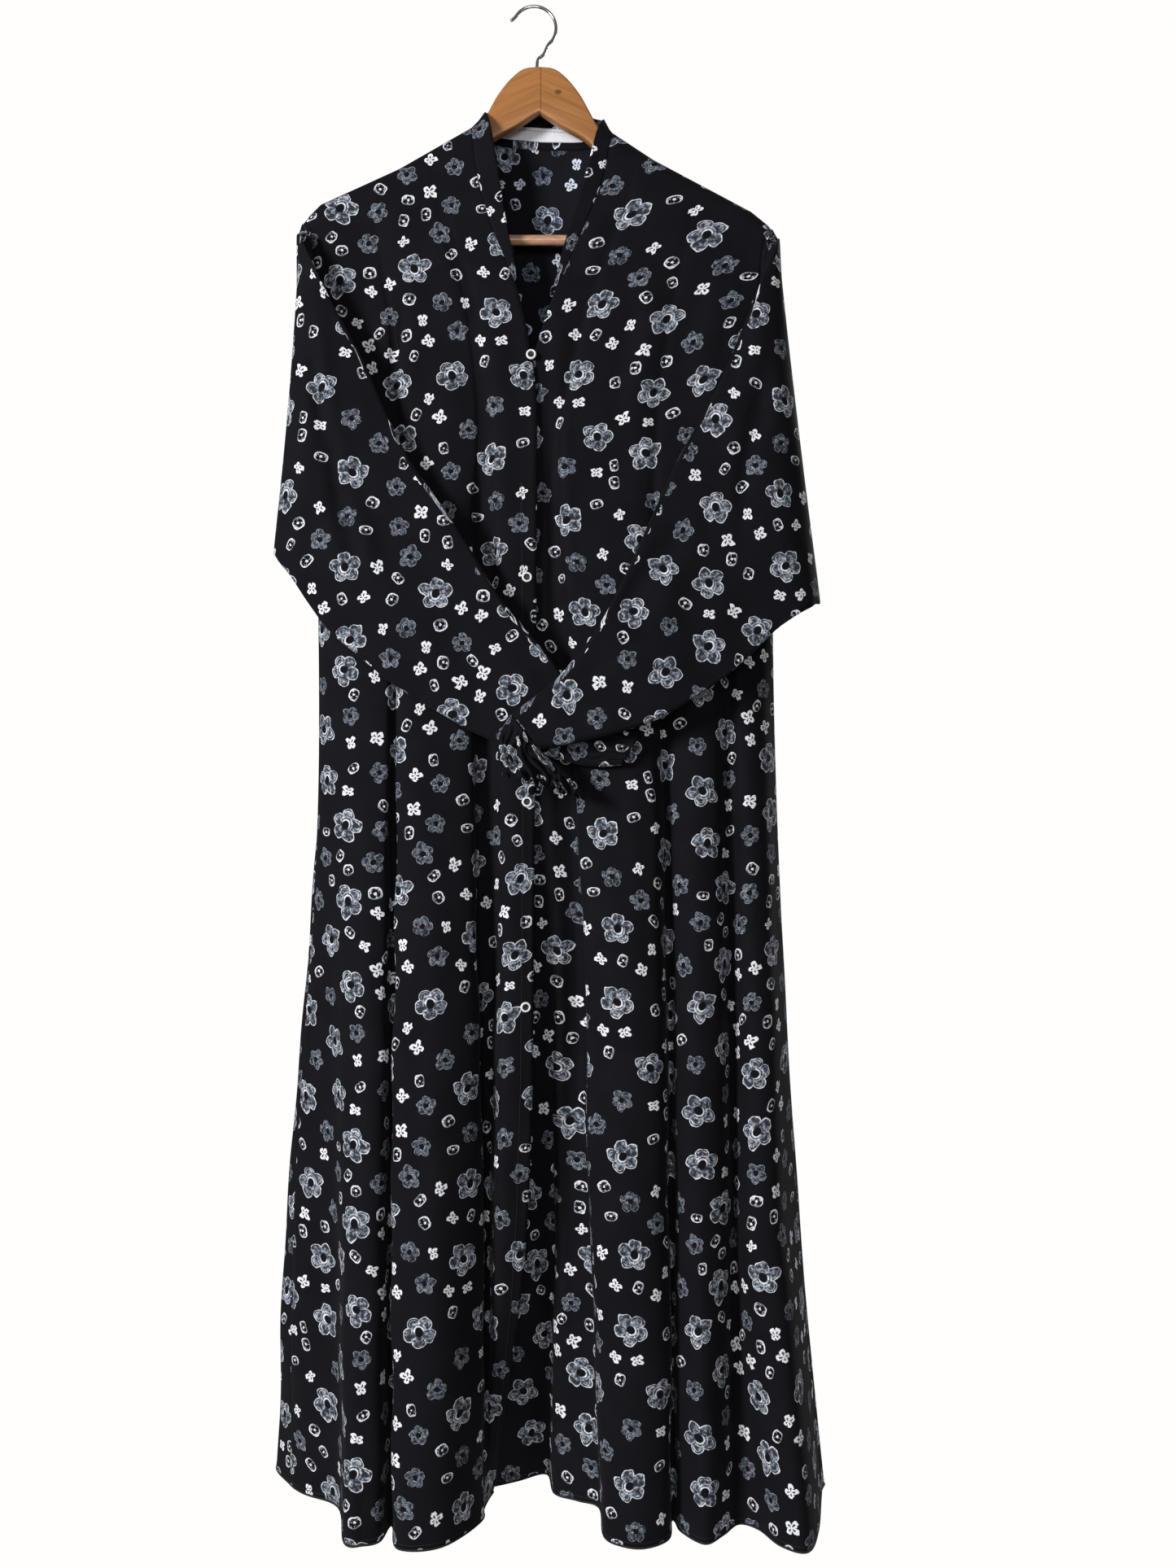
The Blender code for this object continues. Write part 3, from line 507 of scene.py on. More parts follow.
def section_rows():
    """The sections' columns right round the cloak, from one front's edge to the other's."""
    rows = []
    for table, neck, tip in ((FRONT_LEFT, NECK_EDGE_LEFT, ARMHOLE_LEFT),
                             (FRONT_RIGHT, NECK_EDGE_RIGHT, ARMHOLE_RIGHT)):
        first, last = table[0][1], table[-1][1]
        shares = [(row[1] - first) / (last - first) for row in table]
        tops = [neck[0][0] + share * (tip[0][0] - neck[0][0]) for share in shares]
        rows.append([(top, *row[1:]) for top, row in zip(tops, table)])
    left, right = rows
    return left + [row[1:] for row in BACK] + right[::-1]


def patch(lines, edge_a, edge_b, share):
    """X and Z of a row between shoulder and chest, blended from the panel's four edges."""
    top = np.array([top_edge(line[0])[[0, 2]] for line in lines])
    chest = np.stack([lines[:, 1], np.full(len(lines), CHEST_Z)], axis=1)
    f = ((lines[:, 1] - lines[0, 1]) / (lines[-1, 1] - lines[0, 1]))[:, None]
    a, b = along_edge(edge_a, share), along_edge(edge_b, share)
    corners = ((1 - share) * ((1 - f) * top[0] + f * top[-1])
               + share * ((1 - f) * chest[0] + f * chest[-1]))
    return (1 - f) * a + f * b + (1 - share) * top + share * chest - corners


def depths(lines, xz, share):
    """Y of the same row: round over the shoulder, then out to the chest's depth."""
    tops = np.array([top_edge(line[0]) for line in lines])
    drop = np.clip((tops[:, 2] - xz[:, 1]) / SHOULDER_ROUND, 0, 1)
    rounding = np.sqrt(1 - (1 - drop) ** 2)
    chest = lines[:, 2]
    reach = np.sign(chest) * np.maximum(np.minimum(SHOULDER_DEPTH, np.abs(chest)) - tops[:, 1], 0)
    return tops[:, 1] + reach * rounding + (chest - tops[:, 1] - reach) * share


def body_grid():
    """The cloth's surface of fronts and back in one grid, rows down and columns round."""
    lines = spline(section_rows(), COLUMNS_PER_ROW)
    left = (len(FRONT_LEFT) - 1) * COLUMNS_PER_ROW
    right = (len(FRONT_LEFT) + len(BACK)) * COLUMNS_PER_ROW
    panels = ((0, left, NECK_EDGE_LEFT, ARMHOLE_LEFT), (left, right, ARMHOLE_LEFT, ARMHOLE_RIGHT),
              (right, len(lines) - 1, ARMHOLE_RIGHT, NECK_EDGE_RIGHT))
    grid = []
    for share in top_shares():
        row = np.zeros((len(lines), 3))
        for first, last, edge_a, edge_b in panels:
            part = lines[first:last + 1]
            xz = patch(part, edge_a, edge_b, share)
            row[first:last + 1, 0] = xz[:, 0]
            row[first:last + 1, 1] = depths(part, xz, share)
            row[first:last + 1, 2] = xz[:, 1]
        grid.append(row)
    heights = (CHEST_Z, WAIST_Z, KNEE_Z, HEM_Z)
    levels = [np.column_stack([lines[:, i], lines[:, i + 1], np.full(len(lines), z)])
              for i, z in zip((1, 3, 5, 7), heights)]
    slopes = [(levels[1] - levels[0]) / (WAIST_Z - CHEST_Z),
              (levels[2] - levels[0]) / (KNEE_Z - CHEST_Z),
              (levels[3] - levels[1]) / (HEM_Z - WAIST_Z),
              (levels[3] - levels[2]) / (HEM_Z - KNEE_Z)]
    for i, count in enumerate(ROWS_BELOW):
        span = heights[i + 1] - heights[i]
        for s in range(count):
            grid.append(eased(s / count, levels[i], levels[i + 1], span * slopes[i],
                              span * slopes[i + 1]))
    grid.append(levels[-1])
    return np.array(grid), left, right


def panel(grid, first, last, side):
    """One panel's share of the grid, parted from its neighbours at seams and armholes."""
    points = grid[:, first:last + 1].copy()
    shares = top_shares()
    beside = smooth_step(1 - np.arange(COLUMNS_PER_ROW + 1) / COLUMNS_PER_ROW, 0, 1)
    for meets, edge, order in ((first > 0, 0, 1), (last < grid.shape[1] - 1, -1, -1)):
        if not meets:
            continue
        points[:, edge, 1] += side * SEAM_GAP / 2
        if side > 0:
            run = points[:, edge] - points[:, edge + order]
            run /= np.linalg.norm(run, axis=1, keepdims=True)
            below = smooth_step(np.arange(len(points)), len(shares) - 4, len(shares) + 2)[:, None]
            inward = np.array([SEAM_INSET * order, 0, 0])
            points[:, edge] += (run * SEAM_LAP + inward) * below
        for step, weight in enumerate(beside):
            column = edge + order * step
            points[:len(shares), column, 1] += side * opened(shares) * weight
    seam = np.abs(points[0, :, 1]) < 1.0
    points[0, seam, 1] = side * SEAM_GAP / 2
    return points


def crease_push(points, creases):
    """How far the creases lift or sink each point, as seen in X and Z."""
    total = np.zeros(points.shape[:-1])
    x, z = points[..., 0], points[..., 2]
    for number, (x0, z0, x1, z1, width, push) in enumerate(creases):
        run = math.hypot(x1 - x0, z1 - z0)
        ax, az = (x1 - x0) / run, (z1 - z0) / run
        t = ((x - x0) * ax + (z - z0) * az) / run
        wander = CREASE_WANDER * width * np.sin(CREASE_BENDS * t + number)
        off = -(x - x0) * az + (z - z0) * ax - wander
        taper = smooth_step(t, *CREASE_RISES) * (1 - smooth_step(t, *CREASE_FADES))
        total += push * np.exp(-(off / width) ** 2) * taper
    return total


def unevenness(points, seed, strength):
    """Slow, small ripples over a surface, the same on each run."""
    maker = np.random.default_rng(seed)
    total = np.zeros(points.shape[:-1])
    for _ in range(RIPPLES):
        wide = maker.uniform(*RIPPLE_WIDTHS)
        tall = maker.uniform(*RIPPLE_HEIGHTS)
        phase = maker.uniform(0, 2 * math.pi)
        slant = maker.uniform(*RIPPLE_SLANTS)
        x = points[..., 0] + slant * points[..., 2]
        total += np.sin(2 * math.pi * x / wide + 2 * math.pi * points[..., 2] / tall + phase)
    return total * strength / RIPPLE_SUM


def flat_lengths(points, reference):
    """Where each point of a hanging panel lies on the flat cloth, across and down."""
    steps = np.diff(points, axis=1)
    across = np.hypot(steps[..., 0], steps[..., 1])
    u = np.concatenate([np.zeros((len(points), 1)), np.cumsum(across, axis=1)], axis=1)
    u = u - u[:, reference:reference + 1] + np.abs(points[:, reference:reference + 1, 0])
    falls = np.diff(points, axis=0)
    down = np.hypot(falls[..., 1], falls[..., 2])
    v = np.concatenate([np.zeros((1, points.shape[1])), np.cumsum(down, axis=0)], axis=0)
    level = len(SHOULDER_SHARES) + ROWS_ABOVE - 1
    v = v - v[level:level + 1] - CHEST_Z
    return np.stack([u, -v], axis=2)


def tube_lengths(rings, reference, side):
    """Where each point of a sleeve lies on the cloth, seen flat from the front."""
    columns = rings.shape[1]
    wide = np.concatenate([rings, rings[:, :1]], axis=1)
    steps = np.diff(wide, axis=0)
    run = np.hypot(steps[..., 0], steps[..., 1])
    u = np.concatenate([np.zeros((1, columns + 1)), np.cumsum(run, axis=0)], axis=0)
    u = -side * (u - u[reference]) + wide[reference, :, 0]
    turns = np.diff(wide, axis=1)
    round_it = np.hypot(turns[..., 1], turns[..., 2])
    front = columns // 8
    v = np.concatenate([np.zeros((len(rings), 1)), np.cumsum(round_it, axis=1)], axis=1)
    v = v[:, front:front + 1] - v + wide[:, front:front + 1, 2]
    return np.stack([u, v], axis=2)


def strip_lengths(points, closed=False):
    """Where each point of a narrow strip or cuff lies on the cloth: along it, and across."""
    wide = np.concatenate([points, points[:, :1]], axis=1) if closed else points
    along = np.linalg.norm(np.diff(wide, axis=1), axis=2).mean(axis=0)
    u = np.concatenate([[0.0], np.cumsum(along)])
    across = np.linalg.norm(np.diff(wide, axis=0), axis=2).mean(axis=1)
    v = np.concatenate([[0.0], np.cumsum(across)])
    return np.stack(np.meshgrid(u, -v), axis=2)


def print_repeat():
    """Places, radii, kinds, turns and tones of the print's flowers and rings in one repeat."""
    maker = np.random.default_rng(PRINT_SEED)
    placed = []
    for kind, (_, radius, count, gap) in enumerate(PRINT_KINDS):
        for _ in range(count):
            best, room = None, -math.inf
            for _ in range(PRINT_TRIES):
                spot = maker.uniform(0, REPEAT, 2)
                free = 0.0
                if placed:
                    known = np.array(placed)
                    away = (known[:, :2] - spot + REPEAT / 2) % REPEAT - REPEAT / 2
                    free = (np.linalg.norm(away, axis=1) - known[:, 2] - radius - gap).min()
                    free = min(free, radius * PRINT_ROOM)
                if free > room:
                    best, room = spot, free
            size = radius * maker.uniform(*PRINT_SIZES)
            placed.append((*best, size, kind, maker.uniform(0, 2 * math.pi), maker.uniform(0, 1)))
    return np.array(placed)


FLOWERS = print_repeat()


def print_faces(mesh, corners):
    """Gives every face its two nearest flowers, each with the flower's own coordinates."""
    centre = corners.reshape(-1, 4, 2).mean(axis=1)
    nearest = np.zeros((len(centre), 2), int)
    for start in range(0, len(centre), PRINT_BATCH):
        away = centre[start:start + PRINT_BATCH, None, :] - FLOWERS[None, :, :2]
        away = (away + REPEAT / 2) % REPEAT - REPEAT / 2
        clear = np.linalg.norm(away, axis=2) - FLOWERS[None, :, 2]
        nearest[start:start + PRINT_BATCH] = np.argsort(clear, axis=1)[:, :2]
    layer = mesh.uv_layers.new(name="cloth")
    layer.data.foreach_set("uv", (corners * MM).astype(np.float32).ravel())
    for number in (1, 2):
        flower = FLOWERS[nearest[:, number - 1]]
        middle = centre - ((centre - flower[:, :2] + REPEAT / 2) % REPEAT - REPEAT / 2)
        local = corners - np.repeat(middle, 4, axis=0)
        size, turn = np.repeat(flower[:, 2], 4), np.repeat(flower[:, 4], 4)
        x = (local[:, 0] * np.cos(turn) + local[:, 1] * np.sin(turn)) / size
        y = (-local[:, 0] * np.sin(turn) + local[:, 1] * np.cos(turn)) / size
        layer = mesh.uv_layers.new(name=f"flower_{number}")
        layer.data.foreach_set("uv", np.stack([x, y], axis=1).astype(np.float32).ravel())
        for word, column in (("kind", 3), ("tone", 5)):
            values = mesh.attributes.new(f"{word}_{number}", "FLOAT", "FACE")
            values.data.foreach_set("value", flower[:, column].astype(np.float32))


class Recipe:
    """A node tree that is built up by sums on its sockets."""

    def __init__(self, tree):
        self.tree = tree

    def add(self, kind, **settings):
        made = self.tree.nodes.new(kind)
        for name, value in settings.items():
            setattr(made, name, value)
        return made

    def feed(self, socket, value):
        if isinstance(value, bpy.types.NodeSocket):
            self.tree.links.new(value, socket)
        else:
            socket.default_value = value

    def use(self, kind, result, fed=(), **settings):
        """A node with its inputs fed, by name or number, and the output that is wanted of it."""
        made = self.add(kind, **settings)
        for word, value in dict(fed).items():
            self.feed(made.inputs[word], value)
        return made.outputs[result]

    def sum(self, operation, *values):
        return self.use("ShaderNodeMath", 0, enumerate(values), operation=operation)

    def times(self, *values):
        made = values[0]
        for value in values[1:]:
            made = self.sum("MULTIPLY", made, value)
        return made

    def scaled(self, value, factor, more):
        return self.sum("MULTIPLY_ADD", value, factor, more)

    def length(self, x, y, stretch=None):
        square = self.times(y, y) if stretch is None else self.times(y, y, stretch)
        return self.sum("SQRT", self.sum("ADD", self.times(x, x), square))

    def within(self, value, low, high):
        """0 to 1 as the value goes smoothly from low to high; low may be the larger."""
        return self.use("ShaderNodeMapRange", "Result",
                        {"Value": value, "From Min": low, "From Max": high},
                        interpolation_type="SMOOTHSTEP")

    def band(self, value, low, high, soft):
        return self.times(self.within(value, low - soft, low + soft),
                          self.within(value, high + soft, high - soft))

    def vector(self, x, y, z):
        return self.use("ShaderNodeCombineXYZ", 0, {"X": x, "Y": y, "Z": z})

    def parts(self, vector):
        made = self.add("ShaderNodeSeparateXYZ")
        self.feed(made.inputs[0], vector)
        return made.outputs

    def noise(self, vector, scale, detail=2.0):
        return self.use("ShaderNodeTexNoise", "Fac",
                        {"Vector": vector, "Scale": scale, "Detail": detail})

    def mix(self, share, first, second):
        return self.use("ShaderNodeMix", 2, {"Factor": share, 6: first, 7: second},
                        data_type="RGBA")

    def folded(self, angle, lobes, shift=0.0):
        """The angle from the middle of the nearest of some equal lobes."""
        turn = self.scaled(angle, lobes / (2 * math.pi), shift)
        part = self.sum("SUBTRACT", self.sum("FRACT", turn), 0.5)
        return self.sum("MULTIPLY", part, 2 * math.pi / lobes)

    def petals(self, reach, angle, lobes, centre, radius):
        """How far out of the nearest round petal, as a share of its radius, and how far out."""
        phi = self.folded(angle, lobes)
        x = self.sum("SUBTRACT", self.times(reach, self.sum("COSINE", phi)), centre)
        y = self.times(reach, self.sum("SINE", phi))
        return self.sum("DIVIDE", self.length(x, y), radius), x


def add_sockets(group, *sockets):
    """Gives a node group its inputs and outputs: name, way and kind of each."""
    for name, way, kind in sockets:
        group.interface.new_socket(name, in_out=way, socket_type="NodeSocket" + kind)


def flower_ink():
    """A node group that draws one flower or ring of the print from its own coordinates.

    Places and widths are shares of the flower's own radius, and inks go from 0 to 1.
    """
    group = bpy.data.node_groups.new("flower_ink", "ShaderNodeTree")
    add_sockets(group, ("Place", "INPUT", "Vector"), ("Kind", "INPUT", "Float"),
                ("Tone", "INPUT", "Float"), ("Ink", "OUTPUT", "Float"))
    r = Recipe(group)
    given = r.add("NodeGroupInput").outputs
    kind, tone = given["Kind"], given["Tone"]
    x, y, _ = r.parts(given["Place"])
    reach = r.length(x, y)
    angle = r.sum("ARCTAN2", y, x)
    spot = r.vector(x, y, r.times(tone, 37.0))
    slow = r.sum("SUBTRACT", r.noise(spot, 1.3, 1.0), 0.5)
    blot = r.noise(spot, 3.6, 3.0)
    fine = r.noise(spot, 9.0, 2.0)
    twist = r.scaled(r.noise(spot, 2.2, 1.0), 1.0, -0.5)
    one_side = r.within(y, 0.1, -0.15)

    # large and small grey flowers: five round petals, sketchy inside, with pale lines round them
    small = r.sum("COMPARE", kind, 1.0, 0.25)
    wavy = r.times(reach, r.scaled(slow, 0.6, 1.0))
    out, beyond = r.petals(wavy, angle, 5, 0.585, 0.395)
    inside = r.sum("MAXIMUM", r.within(out, 1.05, 0.97), r.within(wavy, 0.5, 0.44))
    smudges = r.times(r.within(blot, 0.4, 0.66), r.within(fine, 0.32, 0.6))
    fill = r.scaled(smudges, 0.42, 0.03)
    rim = r.times(r.band(out, 0.88, 1.0, 0.05), r.within(beyond, -0.14, 0.04),
                  r.within(blot, 0.25, 0.5))
    inner_arc = r.times(r.band(out, 0.52, 0.62, 0.06), r.within(beyond, -0.05, 0.1), one_side,
                        r.within(fine, 0.3, 0.5))
    core = r.sum("SQRT", r.sum("ADD", r.sum("POWER", r.times(x, 1 / 0.23), 2.0),
                               r.sum("POWER", r.times(y, 1 / 0.28), 2.0)))
    crescent = r.times(r.band(core, 1.05, 1.32, 0.12), one_side, r.within(blot, 0.2, 0.42))
    halo = r.times(r.band(core, 1.7, 1.95, 0.12), one_side, r.within(fine, 0.3, 0.5))
    seams = r.times(r.within(r.sum("ABSOLUTE", r.folded(angle, 5, 0.5)), 0.10, 0.03),
                    r.band(reach, 0.32, 0.66, 0.08), r.within(fine, 0.35, 0.55))
    lines = r.sum("ADD", r.scaled(inner_arc, 0.5, r.times(rim, 0.62)),
                  r.scaled(seams, 0.3, r.times(halo, 0.42)))
    grey = r.times(inside, r.sum("ADD", fill, lines), r.within(core, 0.92, 1.08))
    big = r.scaled(crescent, 0.75, grey)
    dim = r.times(grey, r.scaled(r.within(fine, 0.3, 0.65), 0.28, 0.2))
    dim = r.scaled(r.times(inside, r.within(core, 1.0, 1.2), r.within(blot, 0.3, 0.7)), 0.06, dim)
    dim = r.scaled(r.times(crescent, r.within(fine, 0.42, 0.6)), 0.5, dim)
    flowers = r.sum("ADD", r.times(big, r.sum("COMPARE", kind, 0.0, 0.25)), r.times(dim, small))

    # clusters: four white petals with small dark marks round the middle
    long_way = r.length(x, y, 1.9)
    uneven = r.scaled(r.sum("GREATER_THAN", tone, 0.45), r.sum("SUBTRACT", long_way, reach), reach)
    uneven = r.times(uneven, r.scaled(slow, 0.5, 1.0),
                     r.scaled(r.within(x, 0.15, 0.6), -0.2, 1.0))
    out, _ = r.petals(uneven, r.sum("ADD", angle, twist), 4, 0.60, 0.39)
    white = r.sum("MAXIMUM", r.within(out, 1.06, 0.92), r.within(uneven, 0.5, 0.42))
    marks = r.times(r.band(uneven, 0.13, 0.6, 0.06),
                    r.within(r.sum("COSINE", r.times(angle, 4.0)), -0.1, -0.75))
    veins = r.times(r.within(r.sum("ABSOLUTE", r.folded(angle, 4)), 0.15, 0.05),
                    r.band(uneven, 0.34, 0.6, 0.05))
    dark = r.sum("MAXIMUM", r.times(r.within(fine, 0.56, 0.72), 0.45), r.sum("MAXIMUM", marks, veins))
    cluster = r.times(white, r.scaled(dark, -0.85, 0.90))

    # rings: a white line round a dark middle with a bright three-cornered spot
    narrow = r.sum("DIVIDE", x, r.scaled(tone, 0.28, 0.64))
    square = r.sum("POWER", r.sum("ADD", r.sum("POWER", r.sum("ABSOLUTE", narrow), 2.8),
                                  r.sum("POWER", r.sum("ABSOLUTE", y), 2.8)), 1 / 2.8)
    square = r.times(square, r.scaled(slow, 0.35, 1.0))
    inner = r.scaled(r.sum("COSINE", angle), 0.07, 0.84)
    from_inner = r.sum("SUBTRACT", square, inner)
    line = r.times(r.within(from_inner, -0.05, 0.05), r.within(square, 1.02, 0.94))
    line = r.times(line, r.scaled(r.within(r.sum("COSINE", angle), 0.4, 1.0), -0.45, 0.95),
                   r.scaled(r.within(blot, 0.3, 0.55), 0.35, 0.65))
    hole, _ = r.petals(r.times(reach, r.scaled(slow, 0.9, 1.0)),
                       r.scaled(twist, 2.4, angle), 3, 0.41, 0.345)
    spokes = r.times(r.within(hole, 0.95, 1.2), r.within(square, 0.86, 0.78),
                     r.scaled(r.within(blot, 0.42, 0.62), 0.75, 0.08))
    middle = r.times(r.within(r.scaled(twist, 0.6, reach), 0.24, 0.14), 0.85)
    ring = r.sum("MAXIMUM", line, r.sum("MAXIMUM", spokes, middle))

    total = flowers
    for number, drawn in ((2, cluster), (3, ring)):
        chosen = r.sum("COMPARE", kind, float(number), 0.25)
        total = r.scaled(drawn, chosen, total)
    r.feed(r.add("NodeGroupOutput").inputs["Ink"], total)
    return group


def surface(name, roughness, **values):
    """An empty material with its shader's even values set on their own sockets."""
    made = bpy.data.materials.new(name)
    made.use_nodes = True
    shader = made.node_tree.nodes["Principled BSDF"]
    shader.inputs["Roughness"].default_value = roughness
    for word, value in values.items():
        shader.inputs[word.replace("_", " ")].default_value = value
    return made, Recipe(made.node_tree), shader


def bumped(r, shader, height, strength, distance):
    fed = {"Strength": strength, "Distance": distance, "Height": height}
    r.feed(shader.inputs["Normal"], r.use("ShaderNodeBump", "Normal", fed))


def shaded(colour, share):
    """The colour lighter or darker by a share, for a shader's socket."""
    return (*(min(c * (1 + share), 1.0) for c in colour), 1.0)


def print_cloth(name, base, ink_colour, strength):
    """Matt black crepe with its print."""
    made, r, shader = surface(name, CLOTH_ROUGHNESS, Sheen_Weight=CLOTH_SHEEN,
                              Sheen_Roughness=CLOTH_SHEEN_ROUGHNESS,
                              Specular_IOR_Level=CLOTH_GLOSS)
    flat = r.use("ShaderNodeUVMap", "UV", uv_map="cloth")
    weave = r.noise(flat, WEAVE_SCALE, 1.0)
    cloudy = r.noise(flat, CLOUD_SCALE)
    ground = r.mix(r.within(cloudy, *CLOUD_RANGE), shaded(base, -CLOUD_SHARE),
                   shaded(base, CLOUD_SHARE))
    group = bpy.data.node_groups.get("flower_ink") or flower_ink()
    inks = []
    for number in (1, 2):
        fed = {"Place": r.use("ShaderNodeUVMap", "UV", uv_map=f"flower_{number}")}
        for word in ("kind", "tone"):
            fed[word.capitalize()] = r.use("ShaderNodeAttribute", "Fac",
                                           attribute_name=f"{word}_{number}")
        inks.append(r.use("ShaderNodeGroup", "Ink", fed, node_tree=group))
    ink = r.times(r.sum("MAXIMUM", *inks), strength)
    ink = r.times(ink, r.scaled(weave, *INK_ON_WEAVE))
    grey_ink = tuple(c * t for c, t in zip(ink_colour, INK_GREY_TINT))
    pale = r.mix(r.within(ink, *INK_WHITENS), (*grey_ink, 1.0), (*ink_colour, 1.0))
    r.feed(shader.inputs["Base Color"], r.mix(ink, ground, pale))
    bumped(r, shader, weave, *WEAVE_BUMP)
    return made


def wood(name, light, dark, joined):
    """Wood whose grain runs along the hanger, with its middle joint and a knot where joined."""
    made, r, shader = surface(name, WOOD_ROUGHNESS, Coat_Weight=WOOD_COAT,
                              Coat_Roughness=WOOD_COAT_ROUGHNESS)
    x, y, z = r.parts(r.use("ShaderNodeTexCoord", "Object"))
    from_middle = r.sum("ABSOLUTE", r.sum("SUBTRACT", x, WOOD_MIDDLE_X * MM))
    lean = r.scaled(from_middle, GRAIN_LEAN, z)
    along = r.vector(*(r.times(*pair) for pair in zip((x, y, lean), GRAIN)))
    streaks = r.noise(along, 1.6, 4.0)
    colour = r.mix(r.within(streaks, *GRAIN_RANGE), (*dark, 1.0), (*light, 1.0))
    if joined:
        knot_x, knot_z = (r.sum("SUBTRACT", *pair) for pair in zip((x, z), KNOT_PLACE))
        knot = r.within(r.length(knot_x, knot_z, 2.2), *KNOT_EDGE)
        joint = r.within(r.sum("ABSOLUTE", r.sum("SUBTRACT", x, JOINT_X)), *JOINT_EDGE)
        colour = r.mix(r.times(knot, 0.7), colour, KNOT_BROWN)
        colour = r.mix(r.times(joint, 0.75), colour, JOINT_BROWN)
    r.feed(shader.inputs["Base Color"], colour)
    bumped(r, shader, streaks, 0.15, 0.0004)
    return made


def plain(name, **values):
    """A single-coloured finish with slight unevenness."""
    colour, roughness, scale, spread, bump = PLAIN_FINISHES[name]
    made, r, shader = surface(name, roughness, **values)
    spot = r.use("ShaderNodeTexCoord", "Object")
    cloudy = r.noise(spot, scale, 3.0)
    r.feed(shader.inputs["Base Color"],
           r.mix(cloudy, shaded(colour, -spread), shaded(colour, spread)))
    bumped(r, shader, r.noise(spot, scale * 8), 0.25, bump)
    return made


def linked(name, data):
    """An object of the scene that holds a mesh, a curve, a lamp or the camera."""
    made = bpy.data.objects.new(name, data)
    bpy.context.scene.collection.objects.link(made)
    return made


def place(name, mesh, slot, *nodes):
    """A finished mesh as a piece that rides on the part's one body."""
    made = linked(name, mesh)
    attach(made, "root")
    if nodes:
        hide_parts(*nodes)
    return made


def settled(name, made):
    """The mesh of an object with its modifiers applied, at the origin, in place of the object."""
    bpy.context.view_layer.update()
    graph = bpy.context.evaluated_depsgraph_get()
    mesh = bpy.data.meshes.new_from_object(made.evaluated_get(graph))
    mesh.transform(made.matrix_world)
    mesh.name = name
    bpy.data.objects.remove(made)
    return mesh


def mended(mesh, *materials):
    """The mesh with its doubles merged, its normals outward, smooth, in its materials."""
    bm = bmesh.new()
    bm.from_mesh(mesh)
    bmesh.ops.remove_doubles(bm, verts=bm.verts, dist=MERGE_WITHIN)
    bmesh.ops.recalc_face_normals(bm, faces=bm.faces)
    bm.to_mesh(mesh)
    bm.free()
    mesh.shade_smooth()
    mesh.materials.clear()
    for material in materials:
        mesh.materials.append(material)
    return mesh


def drawn_line(curve, path):
    """Adds a line through the path's points to a curve."""
    line = curve.splines.new("POLY")
    line.points.add(len(path) - 1)
    for point, spot in zip(line.points, np.array(path) * MM):
        point.co = (*spot, 1)
    return line


def sheet_mesh(name, points, flat, materials, closed=False, turned=False, thickness=CLOTH_WALL):
    """A grid of points as thin cloth, with its flat coordinates and its share of the print."""
    rows, columns = points.shape[:2]
    index = np.arange(rows * columns).reshape(rows, columns)
    wide = np.arange(rows * (columns + 1)).reshape(rows, columns + 1) if closed else index
    if closed:
        index = np.concatenate([index, index[:, :1]], axis=1)

    def quads(grid):
        made = np.stack([grid[:-1, :-1], grid[:-1, 1:], grid[1:, 1:], grid[1:, :-1]], axis=2)
        return made.reshape(-1, 4)[:, ::-1 if turned else 1]

    mesh = bpy.data.meshes.new(name)
    mesh.from_pydata((points.reshape(-1, 3) * MM).tolist(), [], quads(index).tolist())
    print_faces(mesh, flat.reshape(-1, 2)[quads(wide).ravel()])
    mesh.shade_smooth()
    for material in materials:
        mesh.materials.append(material)
    made = linked(name, mesh)
    wall = made.modifiers.new("wall", "SOLIDIFY")
    wall.thickness = thickness * MM
    wall.offset = 0.0
    if len(materials) > 1:
        wall.material_offset = 1
        wall.material_offset_rim = 0
    return settled(name, made)


def tube_mesh(name, path, radius, material, sides):
    """A round cord of cloth or wire along a path, closed at both ends."""
    curve = bpy.data.curves.new(name, "CURVE")
    curve.dimensions = "3D"
    curve.bevel_depth = radius * MM
    curve.bevel_resolution = sides // 2 - 2
    curve.use_fill_caps = True
    drawn_line(curve, path)
    return mended(settled(name, linked(name, curve)), material)


def stitch_tree():
    """Geometry nodes that lay short threads end to end along a line."""
    tree = bpy.data.node_groups.new("stitch_row", "GeometryNodeTree")
    add_sockets(tree, ("Line", "INPUT", "Geometry"), ("Spacing", "INPUT", "Float"),
                ("Stitch Length", "INPUT", "Float"), ("Thread Radius", "INPUT", "Float"),
                ("Thread", "INPUT", "Material"), ("Row", "OUTPUT", "Geometry"))
    r = Recipe(tree)
    given = r.add("NodeGroupInput").outputs
    curve = r.use("GeometryNodeMeshToCurve", "Curve", {"Mesh": given["Line"]})
    spaced = r.use("GeometryNodeResampleCurve", "Curve",
                   {"Curve": curve, "Length": given["Spacing"]}, mode="LENGTH")
    turned = r.use("FunctionNodeAlignRotationToVector", "Rotation",
                   {"Vector": r.use("GeometryNodeInputTangent", "Tangent")}, axis="Z")
    thread = r.use("GeometryNodeMeshCylinder", "Mesh",
                   {"Vertices": STITCH_SIDES, "Radius": given["Thread Radius"],
                    "Depth": given["Stitch Length"]})
    row = r.use("GeometryNodeInstanceOnPoints", "Instances",
                {"Points": spaced, "Instance": thread, "Rotation": turned})
    whole = r.use("GeometryNodeRealizeInstances", "Geometry", {"Geometry": row})
    finished = r.use("GeometryNodeSetMaterial", "Geometry",
                     {"Geometry": whole, "Material": given["Thread"]})
    r.feed(r.add("NodeGroupOutput").inputs["Row"], finished)
    return tree


